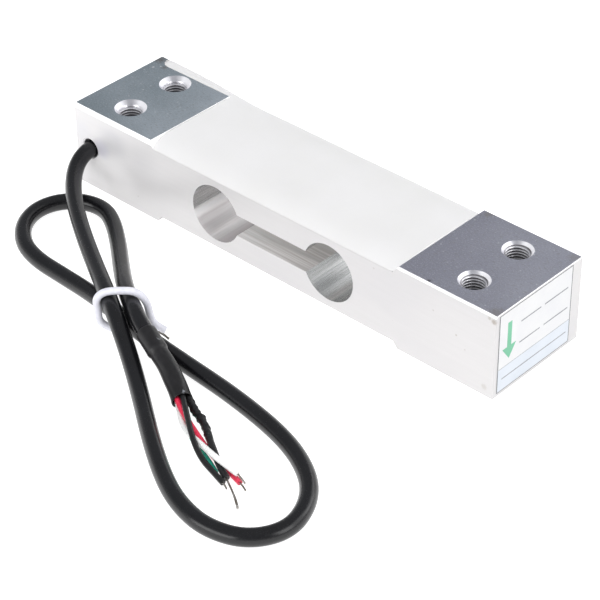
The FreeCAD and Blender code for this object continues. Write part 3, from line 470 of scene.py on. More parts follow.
def metal_thread():
    """Tapped walls: the cones' metal at the mouths, with painted shade darker further in and in the thread roots."""
    n = Nodes("aluminium_thread")
    fine = n.noise(n.pos, 2200, 3, 0.6)
    # painted shade: darker with depth into the hole, from either face
    deep = n.math("SUBTRACT", 0.011, n.math("ABSOLUTE", n.math("SUBTRACT", n.axis(2), 0.011)))
    dark = n.remap(deep, 0.0022, 0.0058, 0, 1, True)
    tone = n.mix(n.remap(fine, 0.3, 0.7, 0, 1), srgb(218, 217, 222), srgb(244, 243, 246))
    off_x = n.math("SUBTRACT", n.math("ABSOLUTE", n.axis(0)), 0.053)
    off_y = n.math("SUBTRACT", n.math("ABSOLUTE", n.axis(1)), 0.0075)
    radius = n.math("SQRT", n.math("ADD", n.math("MULTIPLY", off_x, off_x), n.math("MULTIPLY", off_y, off_y)))
    mouth = n.remap(n.axis(0), -0.001, 0.001, 0.0016, 0.0002)
    cut = n.remap(n.math("SUBTRACT", deep, mouth), 0.0, 0.0003, 0, 1, True)
    # the cones' painted shade and painted highlight, carried down to the mouths
    painted_shade, pale = cone_painted_light(n)
    painted_shade, pale = n.math("MULTIPLY", painted_shade, n.math("SUBTRACT", 1.0, cut)), n.math("MULTIPLY", pale, n.math("SUBTRACT", 1.0, cut))
    tone = n.mix(n.math("MULTIPLY", painted_shade, 0.36), tone, srgb(150, 150, 160))
    # painted shade in the thread roots
    root = n.math("MULTIPLY", n.math("MULTIPLY", n.remap(radius, 0.00262, 0.00290, 0, 1, True), cut), n.remap(n.axis(0), -0.001, 0.001, 0.70, 0.8))
    tone = n.mix(root, tone, srgb(92, 88, 92))
    tone = n.mix(n.math("MULTIPLY", dark, 0.86), tone, srgb(84, 80, 84))
    n.set(Base_Color=tone, Metallic=n.math("SUBTRACT", 0.8, n.math("MULTIPLY", pale, 0.4)), Roughness=n.remap(fine, 0.3, 0.7, 0.28, 0.34))
    n.set(Normal=n.bump(fine, 0.05, 0.00001))
    return n.mat


def silicone():
    n = Nodes("silicone_white")
    wave = n.noise(n.pos, 55, 3, 0.5)
    fine = n.noise(n.pos, 900, 3, 0.6)
    dust = n.math("MULTIPLY", n.remap(n.cells(n.pos, 420), 0.0, 0.05, 1, 0), n.remap(n.noise(n.pos, 90, 1), 0.58, 0.66, 0, 1), clamp=True)
    tone = n.mix(n.remap(wave, 0.3, 0.7, 0, 1), srgb(211, 210, 209), srgb(215, 214, 214))
    tone = n.mix(n.math("MULTIPLY", dust, 0.35), tone, srgb(176, 176, 180))
    n.set(Base_Color=tone, Roughness=n.remap(fine, 0.3, 0.7, 0.42, 0.56))
    n.set(Subsurface_Weight=0.12, Subsurface_Radius=(0.6, 0.6, 0.7), Subsurface_Scale=0.0006)
    n.set(Normal=n.bump(fine, 0.12, 0.00004, n.bump(wave, 0.3, 0.0006)))
    return n.mat


def rubberlike(name, dark, light, rough=(0.36, 0.48), scale=1500, coat=0.0, relief=1.0):
    """Extruded plastic skin with a faint unevenness."""
    n = Nodes(name)
    fine = n.noise(n.pos, scale, 4, 0.6)
    wide = n.noise(n.pos, 120, 2, 0.5)
    tone = n.mix(n.remap(n.math("ADD", n.math("MULTIPLY", fine, 0.5), n.math("MULTIPLY", wide, 0.5)), 0.35, 0.65, 0, 1), dark, light)
    n.set(Base_Color=tone, Roughness=n.remap(fine, 0.3, 0.7, *rough))
    if coat:
        n.set(Coat_Weight=coat)
    n.set(Normal=n.bump(fine, 0.18 * relief, 0.00003, n.bump(wide, 0.25 * relief, 0.0003)))
    return n.mat


def shrink():
    """Shrink sleeve, with what is left of a worn print: faint broken rings, no characters."""
    n = Nodes("shrink_black")
    fine = n.noise(n.pos, 900, 4, 0.6)
    wide = n.noise(n.pos, 120, 2, 0.5)
    tone = n.mix(n.remap(n.math("ADD", n.math("MULTIPLY", fine, 0.5), n.math("MULTIPLY", wide, 0.5)), 0.35, 0.65, 0, 1), srgb(16, 15, 16), srgb(28, 27, 29))
    worn = n.remap(n.noise(n.pos, 1400, 1, 0.5), 0.46, 0.54, 0, 1)
    for x, y, z, r in ((4.38, -55.37, 8.57, 0.58), (2.04, -54.33, 8.73, 0.50), (17.99, -61.63, 4.64, 0.55)):
        d = n.node("ShaderNodeVectorMath", operation="DISTANCE")
        n.link(n.pos, d.inputs[0])
        d.inputs[1].default_value = (x * MM, y * MM, z * MM)
        ring = n.math("ABSOLUTE", n.math("SUBTRACT", d.outputs["Value"], r * MM))
        tone = n.mix(n.math("MULTIPLY", n.math("MULTIPLY", n.remap(ring, 0.00015, 0.00007, 0, 1), worn), 0.5), tone, srgb(150, 154, 160))
    n.set(Base_Color=tone, Roughness=n.remap(fine, 0.3, 0.7, 0.34, 0.48))
    n.set(Normal=n.bump(fine, 0.18, 0.00003, n.bump(wide, 0.25, 0.0003)))
    return n.mat


def copper_tinned():
    n = Nodes("tinned_strands")
    fine = n.noise(n.pos, 2600, 3, 0.6)
    wide = n.noise(n.pos, 500, 2, 0.5)
    tone = n.mix(n.remap(wide, 0.35, 0.65, 0, 1), srgb(150, 140, 128), srgb(206, 203, 198))
    tone = n.mix(n.math("MULTIPLY", n.remap(fine, 0.55, 0.75, 0, 1), 0.5), tone, srgb(92, 82, 74))
    n.set(Base_Color=tone, Metallic=0.95, Roughness=n.remap(fine, 0.3, 0.7, 0.24, 0.42))
    n.set(Normal=n.bump(fine, 0.2, 0.00002))
    return n.mat


def paper(name, light, dark, rough=0.5):
    """Printed label film."""
    n = Nodes(name)
    fine = n.noise(n.pos, 2800, 3, 0.6)
    wide = n.noise(n.pos, 140, 2, 0.5)
    tone = n.mix(n.remap(n.math("ADD", n.math("MULTIPLY", fine, 0.4), n.math("MULTIPLY", wide, 0.6)), 0.4, 0.6, 0, 1), dark, light)
    n.set(Base_Color=tone, Roughness=n.remap(fine, 0.3, 0.7, rough - 0.05, rough + 0.08))
    n.set(Normal=n.bump(wide, 0.12, 0.0003))
    return n.mat


SIDE_LOW, SIDE_HIGH, SIDE_CLOUD = srgb(202, 200, 200), srgb(205, 203, 203), srgb(197, 195, 197)
BORE_X = -0.0185
BORE_LOW, BORE_HIGH, BORE_WIDE = srgb(224, 225, 225), srgb(254, 253, 253), srgb(206, 208, 206)
PAD_MARKS = [(-64.2, 13.2, 2.2, 0.6, (112, 100, 92)), (-60.5, 11.2, 1.1, 0.45, (120, 108, 98)), (-62.8, 9.6, 0.5, 0.8, (246, 246, 248)), (-61.6, 11.0, 0.35, 0.8, (250, 250, 250)),
             (63.8, -13.6, 2.4, 0.4, (150, 138, 124)), (39.5, 14.0, 1.6, 0.4, (150, 142, 130)), (46.0, -14.2, 0.7, 0.8, (84, 80, 80)), (64.0, 13.4, 2.0, 0.3, (156, 146, 132))]
# painted shade and painted light patches on the front face: x, z, radius, strength, colour
PAINTED_SHADE_AND_LIGHT = [(-56.0, 12.5, 3.6, 0.5, (196, 195, 210)), (-62.8, 15.0, 4.0, 0.35, (208, 208, 214)), (-51.5, 16.8, 7.0, 0.45, (190, 190, 194)), (-42.0, 15.0, 6.0, 0.2, (194, 193, 196)), (-49.0, 7.0, 6.5, 0.5, (234, 232, 232))]
MARKS = [(64.4, 20.6, 0.9, 0.7), (63.2, 21.0, 0.6, 0.5), (62.6, 2.4, 1.0, 0.28), (54.5, 12.2, 0.35, 0.5), (57.0, 9.5, 0.3, 0.35), (48.0, 15.6, 0.3, 0.35),
         (31.0, 18.6, 0.35, 0.3), (-44.0, 4.2, 0.3, 0.3)]
M_SIDE, M_EDGE_PAINTED_HIGHLIGHT, M_LOW_PAINTED_SHADE, M_CUT, M_THREAD = metal_side(), metal_edge_painted_highlight(), metal_low_painted_shade(), metal_sink(), metal_thread()
M_BORE, M_SLOT = metal_bore("aluminium_bore", "y"), metal_bore("aluminium_slot", "x")
M_PAD_L = metal_pad("aluminium_pad_left", srgb(152, 165, 173), srgb(201, 210, 218), srgb(138, 140, 136), 1.58)
M_PAD_R = metal_pad("aluminium_pad_right", srgb(170, 170, 184), srgb(193, 194, 206), srgb(148, 142, 138), -0.75)
M_SILICONE = silicone()
M_CABLE = rubberlike("pvc_black", srgb(10, 10, 12), srgb(17, 17, 20), (0.22, 0.28), 1500, 0.0, 0.35)
M_SLEEVE = shrink()
M_RED = rubberlike("insulation_red", srgb(204, 34, 66), srgb(226, 66, 92), (0.28, 0.38), 1800)
M_WHITE = rubberlike("insulation_white", srgb(224, 224, 222), srgb(240, 240, 239), (0.30, 0.42), 1800)
M_BLACK = rubberlike("insulation_black", srgb(16, 16, 16), srgb(28, 28, 29), (0.26, 0.38), 1800)
M_GREEN = rubberlike("insulation_green", srgb(28, 156, 132), srgb(56, 184, 158), (0.28, 0.38), 1800)
M_TIE = rubberlike("tie_white", srgb(202, 202, 211), srgb(218, 218, 226), (0.28, 0.40), 1400)
M_STRAND = copper_tinned()
M_LABEL = paper("label_film", srgb(217, 217, 217), srgb(212, 212, 214))
M_BAND = paper("label_band", srgb(206, 211, 218), srgb(199, 205, 213))
M_ARROW = paper("label_arrow", srgb(114, 184, 150), srgb(98, 172, 138))
M_LINE = paper("label_line", srgb(86, 90, 94), srgb(62, 66, 70))
M_MARK = paper("label_mark", srgb(150, 152, 156), srgb(128, 131, 136))
M_FOIL = rubberlike("gauge_foil", srgb(176, 120, 48), srgb(205, 150, 70), (0.3, 0.4), 1200)
M_BOARD = rubberlike("board", srgb(24, 84, 44), srgb(34, 104, 58), (0.35, 0.45), 900)
M_CHIP = rubberlike("chip", srgb(20, 20, 20), srgb(34, 34, 34), (0.35, 0.5), 2000)
M_LEAD = rubberlike("lead_enamel", srgb(150, 84, 40), srgb(186, 110, 60), (0.25, 0.35), 2000)

# ------------------------------------------------------------------ carried-over CAD nodes
X1, Y1, Z1 = 65.0, 15.0, 22.0


def paint(node, *materials):
    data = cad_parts[node].data
    data.materials.clear()
    for m in materials:
        data.materials.append(m)
    return data


body = paint("spring_element", M_SIDE, M_PAD_L, M_PAD_R, M_BORE, M_CUT, M_EDGE_PAINTED_HIGHLIGHT, M_SLOT, M_LOW_PAINTED_SHADE)
holes = [(sx * 53.0, sy * 7.5) for sx in (-1, 1) for sy in (-1, 1)]
index = []
for poly in body.polygons:
    c, nrm = poly.center / MM, poly.normal
    away = min(math.hypot(c.x - hx, c.y - hy) for hx, hy in holes)
    flat = max(abs(nrm.x), abs(nrm.y), abs(nrm.z)) > 0.995
    which = 0
    if abs(nrm.z) > 0.95 and (c.z > 21.9 or c.z < 0.1):
        which = 1 if c.x < 0 else 2
    elif away < 4.1 and 0.02 < c.z < 21.98 and abs(nrm.y) < 0.9999 or away < 3.2:
        which = 4
    elif abs(nrm.y) < 0.2 and abs(c.x) < 25.2 and 3.5 < c.z < 18.5 and abs(c.y) < 15.01:
        which = 6 if abs(nrm.z) > 0.995 and abs(c.x) < 12 else 3
    elif math.hypot(c.x + 60.2, c.z - 11.0) < 2.55 and -14.7 < c.y < 12.6:
        which = 4
    elif not flat and ((c.x > 64.8 and c.z > 21.5) or (abs(c.y) > 14.3 and c.z > 20.8) or (abs(nrm.y) < 0.05 and 36 < abs(c.x) < 40 and c.z > 11)
                       or (c.y < -14.6 and math.hypot(c.x + 60.2, c.z - 11.0) < 3)):
        which = 5
    elif not flat and (c.z < 3.0 or c.x < -64.8):
        which = 7
    index.append(which)
body.polygons.foreach_set("material_index", index)

paint("rating_label", M_LABEL)
paint("terminal_board", M_BOARD)
for name in ("zero_resistor", "span_resistor"):
    paint(name, M_CHIP)
for side in ("left", "right"):
    for level in ("top", "bottom"):
        paint("%s_gauge_%s" % (level, side), M_FOIL)
        paint("%s_leads_%s" % (level, side), M_LEAD)
for colour, m in (("red", M_RED), ("black", M_BLACK), ("green", M_GREEN), ("white", M_WHITE)):
    paint("inner_core_" + colour, m)

# ------------------------------------------------------------------ thread ridges in the four tapped holes
pitch, crest, root = 0.75, 2.50, 2.985


def thread_radius(z, w):
    """The tapped wall: a 60 degree helix between the crest and the root, ending in the countersinks."""
    p = (z / pitch - w / (2 * math.pi)) % 1.0
    v = abs(2 * p - 1)
    v = min(1.0, max(0.0, (v - 0.10) / 0.72))
    return crest + (root - crest) * v


for end, hx, rim, lead in (("left", -53.0, 3.95, 0.577), ("right", 53.0, 3.65, 1.0)):
    for side, hy in (("front", -7.5), ("back", 7.5)):
        z0, z1 = rim - root, Z1 - (rim - root)
        rows, sides = 420, 60
        verts, faces = [], []
        for i in range(rows + 1):
            z = z0 + (z1 - z0) * i / rows
            for k in range(sides):
                w = 2 * math.pi * k / sides
                # below the countersink the mouth tapers on to the crests, steeper at the left end
                taper = root - lead * (min(Z1 - z, z) - (rim - root))
                r = min(max(thread_radius(z, w), taper), root)
                verts.append((hx + r * math.cos(w), hy + r * math.sin(w), z))
        for i in range(rows):
            for k in range(sides):
                k2 = (k + 1) % sides
                faces.append((i * sides + k, (i + 1) * sides + k, (i + 1) * sides + k2, i * sides + k2))
        t = mesh_object("thread_%s_%s" % (end, side), verts, faces, True, [M_THREAD])
        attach(t, "root")

# ------------------------------------------------------------------ upper potting: poured silicone, high in the middle, falling to the long edges
floor_z, level = 20.1, 21.9
foot_l, foot_r, lean = -37.7, 36.5, 1.3 / 1.9


def wave(x, seed):
    """A slow uneven wave between -1 and 1."""
    return (math.sin(x * 0.21 + seed) + 0.6 * math.sin(x * 0.47 + 2.3 * seed) + 0.35 * math.sin(x * 1.03 + 4.1 * seed)) / 1.95


def step(a, b, x):
    t = min(1.0, max(0.0, (x - a) / (b - a)))
    return t * t * (3 - 2 * t)


def swell(t):
    """How far the pour has risen at t of the way in from its edge."""
    t = min(1.0, max(0.0, t))
    return (1 - (1 - t) ** 2.2) ** 0.8


BACK = ((-62.7, 21.86), (-59.0, 21.84), (-51.6, 21.66), (-44.3, 21.18), (-38.7, 20.72), (-34.0, 20.32), (-28.0, 20.24), (40.0, 20.22))


def back_edge(x):
    for (xa, za), (xb, zb) in zip(BACK, BACK[1:]):
        if x <= xb:
            return za + (zb - za) * (x - xa) / (xb - xa) + 0.05 * wave(x, 5.0)
    return BACK[-1][1]


def pour(x, y):
    front = 20.24 + 0.08 * wave(x, 1.0)
    run_back = 2.7 + (7.5 - 2.7) * step(-46.0, -33.0, x)
    z = level - (level - front) * (1 - swell((y + 15.0) / 7.5)) - (level - back_edge(x)) * (1 - swell((15.0 - y) / run_back))
    z += 0.022 * wave(x * 0.8 + y * 0.5, 2.0) * swell(min(15 - y, 15 + y) / 4) + 0.012 * wave(y * 1.6 - x * 0.3, 3.0)
    if y > 11.9:
        z -= 0.3 * (1 - swell((x + 62.7) / 1.6))
    return min(z, 21.95)


bits = [0, 0.04, 0.1, 0.18, 0.28, 0.42, 0.6, 0.82, 1.1, 1.45, 1.9, 2.4, 3.0, 3.7, 4.6, 5.6, 6.6, 7.6, 8.8, 10.2, 11.6, 13.2]
ys = [-15 + d for d in bits] + [0.0] + [15 - d for d in reversed(bits)]
ys = sorted(set([round(y, 4) for y in ys] + [12.0]))
across = 170
verts, faces, known = [], [], {}


def vertex(x, y, z):
    key = (round(x, 3), round(y, 3), round(z, 3))
    if key not in known:
        known[key] = len(verts)
        verts.append((x, y, z))
    return known[key]


def ends(y):
    """Where the surface meets the two ramps at this y."""
    xl, xr = foot_l, foot_r
    for _ in range(4):
        xl = foot_l - (pour(xl, y) - floor_z) * lean
        xr = foot_r + (pour(xr, y) - floor_z) * lean
    short = 1.3 * (1 - swell((15 + y) / 1.5)) + 1.6 * (1 - swell((15 - y) / 2.2))
    return xl + 0.012, xr - 0.012 - short + 0.12 * wave(y * 2.2, 6.0) * swell((15 - abs(y)) / 3) - 0.1


def lay(columns):
    """Quads over a grid of points given as columns[j][i]; points at the same y share j."""
    for low, high in zip(columns, columns[1:]):
        for i in range(len(low) - 1):
            faces.append((low[i], low[i + 1], high[i + 1], high[i]))


top = []
for y in ys:
    xl, xr = ends(y)
    top.append([vertex(xl + (xr - xl) * i / across, y, pour(xl + (xr - xl) * i / across, y)) for i in range(across + 1)])
lay(top)
strip = []
for y in [v for v in ys if v >= 12.0]:
    xl = ends(y)[0]
    strip.append([vertex(-62.7 + (xl + 62.7) * (i / 60) ** 1.15, y, pour(-62.7 + (xl + 62.7) * (i / 60) ** 1.15, y)) for i in range(61)])
lay(strip)
edge_use = {}
for f in faces:
    for a, b in zip(f, f[1:] + f[:1]):
        edge_use[(a, b)] = edge_use.get((a, b), 0) + 1
rim_edges = [(a, b) for (a, b) in edge_use if (b, a) not in edge_use]
after = dict(rim_edges)
start = rim_edges[0][0]
loop = [start]
while after[loop[-1]] != start:
    loop.append(after[loop[-1]])
low = {}
for i in loop:
    x, y, z = verts[i]
    inset = 0.1 if abs(y) > 14.9 else 0.0
    low[i] = len(verts)
    verts.append((x + (0.1 if x < 0 else -0.1) * (1 if abs(y) < 12 else 0), y - math.copysign(inset, y), floor_z if x > -39.1 or y < 12 else 20.0))
for a, b in zip(loop, loop[1:] + loop[:1]):
    faces.append((b, a, low[a], low[b]))
faces.append(tuple(low[i] for i in loop))

# the channel's and the slot's fill below it, seen from the back: one L-shaped face with soft borders, closed towards the metal


def fill_top(x):
    return back_edge(x) - 0.10 if x < -38.2 else floor_z + 0.04


def fill_face(x0, x1, z_low, z_high, columns, rows):
    base = len(verts)
    for j in range(columns + 1):
        x = x0 + (x1 - x0) * j / columns
        top_here = z_high(x)
        for i in range(rows + 1):
            z = z_low + (top_here - z_low) * i / rows
            d = min(x - x0, x1 - x, z - z_low, 9.0)
            soft = 0.14 * max(0.0, 1 - d / 0.35) ** 2
            verts.append((x, 14.97 - soft - 0.035 * (1 + wave(x * 1.3 + z * 2.1, 7.0)), z))
    count = (columns + 1) * (rows + 1)
    for j in range(columns + 1):
        x = x0 + (x1 - x0) * j / columns
        top_here = z_high(x)
        for i in range(rows + 1):
            verts.append((x, 12.05, z_low + (top_here - z_low) * i / rows))
    at = lambda j, i, back=0: base + back * count + j * (rows + 1) + i
    for j in range(columns):
        for i in range(rows):
            faces.append((at(j, i), at(j, i + 1), at(j + 1, i + 1), at(j + 1, i)))
            faces.append((at(j, i, 1), at(j + 1, i, 1), at(j + 1, i + 1, 1), at(j, i + 1, 1)))
    for j in range(columns):
        faces.append((at(j, 0), at(j + 1, 0), at(j + 1, 0, 1), at(j, 0, 1)))
        faces.append((at(j + 1, rows), at(j, rows), at(j, rows, 1), at(j + 1, rows, 1)))
    for i in range(rows):
        faces.append((at(0, i + 1), at(0, i), at(0, i, 1), at(0, i + 1, 1)))
        faces.append((at(columns, i), at(columns, i + 1), at(columns, i + 1, 1), at(columns, i, 1)))


fill_face(-62.68, -28.52, 17.82, fill_top, 110, 12)
fill_face(-62.68, -57.72, 8.57, lambda x: 18.3, 16, 36)
potting = mesh_object("potting_pour", verts, faces, True, [M_SILICONE])
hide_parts("potting_top")
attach(potting, "root")

# ------------------------------------------------------------------ lower potting: a thinner pour under the bar, and the seal round the cable
(bx0, by0, bz0), (bx1, by1, bz1) = [[q / MM for q in corner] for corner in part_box("potting_bottom")]
roof, deep = 1.7, 0.24
verts, faces = [], []
nx, ny = 120, 44
spread = lambda t: 0.5 - 0.5 * math.cos(math.pi * t)
for j in range(ny + 1):
    for i in range(nx + 1):
        u, v = spread(i / nx), spread(j / ny)
        x, y = bx0 + (bx1 - bx0) * u, by0 + (by1 - by0) * v
        x += 0.35 * wave(y * 1.3, 1.5) * (1 if u > 0.5 else -1) * (abs(u - 0.5) * 2) ** 6 - 0.35 * (1 if u > 0.5 else -1) * (abs(u - 0.5) * 2) ** 6
        y += 0.30 * wave(x * 0.9, 2.5) * (1 if v > 0.5 else -1) * (abs(v - 0.5) * 2) ** 6 - 0.30 * (1 if v > 0.5 else -1) * (abs(v - 0.5) * 2) ** 6
        rise = swell(min(u, 1 - u) * (bx1 - bx0) / 5.0) * swell(min(v, 1 - v) * (by1 - by0) / 5.0)
        verts.append((x, y, roof - 0.02 - (roof - 0.02 - deep) * rise - 0.02 * (1 + wave(x * 0.7 + y, 4.0)) * (1 - rise)))
for j in range(ny):
    for i in range(nx):
        a = j * (nx + 1) + i
        faces.append((a, a + nx + 1, a + nx + 2, a + 1))
round_it = [i for i in range(nx + 1)] + [j * (nx + 1) + nx for j in range(1, ny + 1)] + [ny * (nx + 1) + i for i in range(nx - 1, -1, -1)] \
    + [j * (nx + 1) for j in range(ny - 1, 0, -1)]
low = {}
for i in round_it:
    low[i] = len(verts)
    verts.append((verts[i][0], verts[i][1], roof))
for a, b in zip(round_it, round_it[1:] + round_it[:1]):
    faces.append((a, b, low[b], low[a]))
faces.append(tuple(reversed([low[i] for i in round_it])))
base = len(verts)
plug = [(0.0, roof - 0.3), (1.46, roof - 0.3), (1.46, 19.9), (1.30, 20.08), (0.0, 20.08)]
for r, z in plug[1:-1]:
    for k in range(40):
        verts.append((-31.0 + r * math.cos(math.pi * k / 20), -10.0 + r * math.sin(math.pi * k / 20), z))
for i in range(2):
    for k in range(40):
        k2 = (k + 1) % 40
        faces.append((base + i * 40 + k, base + i * 40 + k2, base + (i + 1) * 40 + k2, base + (i + 1) * 40 + k))
faces.append(tuple(base + k for k in range(39, -1, -1)))
faces.append(tuple(base + 80 + k for k in range(40)))
under = mesh_object("potting_under", verts, faces, True, [M_SILICONE])
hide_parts("potting_bottom")
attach(under, "root")

verts, faces = [], []
turned = [(1.65, -10.5), (2.0, -10.5), (2.02, -12.25), (2.1, -12.08), (2.22, -12.0), (2.34, -12.1), (2.43, -12.38), (2.44, -12.38), (2.44, 11.9), (1.65, 11.9)]
for r, y in turned:
    for k in range(48):
        verts.append((-60.2 + r * math.cos(math.pi * k / 24), y + (0.04 * math.sin(math.pi * k / 8) if y < -12 else 0), 11.0 + r * math.sin(math.pi * k / 24)))
for i in range(len(turned)):
    i2 = (i + 1) % len(turned)
    for k in range(48):
        k2 = (k + 1) % 48
        faces.append((i * 48 + k, i * 48 + k2, i2 * 48 + k2, i2 * 48 + k))
seal = mesh_object("seal_ring", verts, faces, True, [M_SILICONE])
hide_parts("cable_seal")
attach(seal, "root")

# ------------------------------------------------------------------ label print: fields and rules on the film, no lettering
LX = X1 + 0.1


def print_piece(name, outlines, material, lift):
    """Flat shapes on the label: each outline is a list of (y, z)."""
    v, f = [], []
    for pts in outlines:
        b, n = len(v), len(pts)
        v += [(LX + lift, y, z) for y, z in pts] + [(LX - 0.02, y, z) for y, z in pts]
        f.append(tuple(range(b, b + n)))
        f.append(tuple(range(b + 2 * n - 1, b + n - 1, -1)))
        f += [(b + (k + 1) % n, b + k, b + n + k, b + n + (k + 1) % n) for k in range(n)]
    o = mesh_object(name, v, f, False, [material])
    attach(o, "root")
    return o


def rect(y0, y1, z0, z1):
    return [(y0, z0), (y1, z0), (y1, z1), (y0, z1)]


print_piece("label_band", [rect(-13.6, 11.3, 1.2, 7.1)], M_BAND, 0.006)
print_piece("label_border", [rect(-13.8, -13.62, 1.0, 21.6), rect(-13.62, 11.32, 1.0, 1.16), rect(11.32, 11.5, 1.0, 21.6), rect(-13.62, 11.32, 21.46, 21.6)], M_LINE, 0.010)
print_piece("label_rule", [rect(-13.5, 11.2, 7.1, 7.22)], M_MARK, 0.010)
print_piece("label_arrow", [[(-10.9, 12.05), (-12.5, 12.05), (-10.1, 8.7), (-7.8, 12.05), (-9.5, 12.05), (-9.5, 18.45), (-10.9, 18.45)]], M_ARROW, 0.012)
bars = []
for z, y0, y1, hgt, parts in ((16.4, -6.3, 10.1, 1.1, (5, 0, 6)), (10.9, -6.6, 10.3, 1.1, (8, 0, 4))):
    bars.append(rect(y0, y0 + (y1 - y0) * 0.42, z - 0.16, z + 0.16))
    bars.append(rect(y0 + (y1 - y0) * 0.50, y1, z - 0.16, z + 0.16))
bars.append(rect(-12.3, 10.3, 4.05, 4.35))
print_piece("label_bars", bars, M_MARK, 0.010)

# ------------------------------------------------------------------ cable, sleeve, wires, tie
cable.data.materials.append(M_CABLE)
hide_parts("signal_cable")
for name, m in (("core_red", M_RED), ("core_white", M_WHITE), ("core_black", M_BLACK), ("core_green", M_GREEN), ("drain_sleeve", M_SLEEVE)):
    w = wires[name]
    w.data.materials.append(m)
    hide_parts(name)
    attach(w, "root")

cable_line = line_of(CABLE, 20)
tail = []
length = 0.0
for a, b in zip(reversed(cable_line), list(reversed(cable_line))[1:]):
    tail.append(a)
    length += (b - a).length
    if length > 6.4:
        break
tail.reverse()
path = resample(tail + line_of(SLEEVE, 20)[1:], 0.25)
over = next(i for i, p in enumerate(path) if (p - Vector(CABLE[-1])).length < 0.3)
n = len(path)


def sleeve_radius(i):
    """Over the cable the sleeve is thicker; past the cable's end it is drawn in round the wires and flares at the mouth."""
    s = (i - over) * 0.25
    last = (n - 1 - i) * 0.25
    if s < 0:
        r = 2.36 + 0.05 * math.exp(-(s / 0.7) ** 2)
    elif s < 1.0:
        t = s
        r = 2.41 - 0.31 * (3 * t * t - 2 * t ** 3)
    else:
        t = min(1.0, (s - 1.0) / 7.5)
        r = 2.10 + 0.17 * (3 * t * t - 2 * t ** 3)
    if last < 2.2:
        r += 0.09 * (1 - last / 2.2) ** 2
    lip = i * 0.25
    if lip < 0.5:
        r -= 0.16 * (1 - lip / 0.5) ** 2
    return r


def sleeve_shape(i, k, w):
    s = (i - over) * 0.25
    wrinkle = 0.035 * math.sin(3 * w + 0.9 * s) * (1 if s > 1 else 0.3)
    return wrinkle + 0.02 * math.sin(7 * w - 0.35 * s)


radii = [sleeve_radius(i) for i in range(n)]
outer_v, outer_f = skin(path, radii, 40, sleeve_shape)
inner_v, inner_f = skin(path[over + 6:], [max(r - 0.26, 2.0) for r in radii[over + 6:]], 40, lambda i, k, w: 0.0)
v = outer_v + inner_v
f = list(outer_f)
b = len(outer_v)
f += [tuple(reversed([b + q for q in face])) for face in inner_f]
m_out, m_in = (n - 1) * 40, b + (len(inner_v) - 40)
for k in range(40):
    k2 = (k + 1) % 40
    f.append((m_out + k, m_out + k2, m_in + k2, m_in + k))
start_v = [p + (Vector(CABLE[-2]) - p) * 0 for p in outer_v[:40]]
centre = path[0]
base = len(v)
v += [centre + (p - centre) * (1.98 / 2.3) for p in start_v]
for k in range(40):
    k2 = (k + 1) % 40
    f.append((k2, k, base + k, base + k2))
sleeve = mesh_object("sleeve", v, f, True, [M_SLEEVE])
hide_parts("heat_shrink_sleeve")
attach(sleeve, "root")

# the drain's covering is a badly shrunk skin, creased and lumpy along its first stretch
drain_line = resample(line_of(WIRES["drain_sleeve"], 24), 0.12)
first = next(i for i, p in enumerate(drain_line) if p.x > SLEEVE[-1][0] + 0.4)
part_line = drain_line[first:first + 118]
m = len(part_line)
LUMPS = [(1.6, 0.34, 0.55), (3.3, 0.22, 0.45), (4.6, 0.30, 0.40), (6.4, 0.40, 0.50), (7.3, 0.24, 0.35), (9.6, 0.16, 0.5), (11.8, 0.12, 0.4)]
skin_r = []
for i in range(m):
    d = i * 0.12
    r = 0.82 + 0.035 * wave(d * 5.0, 3.0)
    for at, tall, wide in LUMPS:
        r += 0.5 * tall * math.exp(-((d - at) / wide) ** 2)
    skin_r.append(r)
skin_r[0] = skin_r[-1] = 0.80


def crease(i, k, w):
    d = i * 0.12
    e = min(1.0, i / 4, (m - 1 - i) / 4)
    return e * (0.05 * math.sin(2 * w + 2.1 * d) + 0.04 * math.sin(5 * w - 1.3 * d + math.sin(3 * d)) + 0.10 * max(0.0, math.sin(w + 1.7 * d)) ** 6)


v, f = skin(part_line, skin_r, 28, crease, True, True)
for q in v:
    q.z = max(q.z, 0.03)
crinkle = mesh_object("drain_skin", v, f, True, [M_SLEEVE])
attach(crinkle, "root")

# the tie and its bare strands
tie = spline("tie", TIE, 0.87, 8, 14)
tie.data.materials.append(M_TIE)
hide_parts("cable_tie")
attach(tie, "root")


def bundle(name, centre_line, strands, spread, wire, node, twist=2.5, splay=0.0):
    """Bare strands: fine wires laid round a common line, fanning out towards the end."""
    data = bpy.data.curves.new(name, "CURVE")
    data.dimensions = "3D"
    fr = frames_along(centre_line)
    last = len(centre_line) - 1
    for j in range(strands):
        s = data.splines.new("NURBS")
        s.points.add(last)
        a0 = 2 * math.pi * j / max(1, strands - 1)
        lay = 0.0 if j == 0 else spread
        wild = rng.uniform(0.6, 1.4)
        cut = rng.uniform(0.0, 0.35)
        for i, p in enumerate(centre_line):
            t, u, w = fr[i]
            q = i / last
            a = a0 + twist * q
            r = lay * (1 + splay * q * q * wild)
            if i == last:
                p = p - t * cut
            pt = p + (u * math.cos(a) + w * math.sin(a)) * r
            pt.z = max(pt.z, wire + 0.02)
            s.points[i].co = (pt.x * MM, pt.y * MM, pt.z * MM, 1.0)
        s.order_u = 3
        s.use_endpoint_u = True
    data.resolution_u = 6
    data.bevel_depth = wire * MM
    data.bevel_resolution = 3
    data.use_fill_caps = True
    o = bpy.data.objects.new(name, data)
    scene.collection.objects.link(o)
    data.materials.append(M_STRAND)
    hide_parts(node)
    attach(o, "root")
    return o


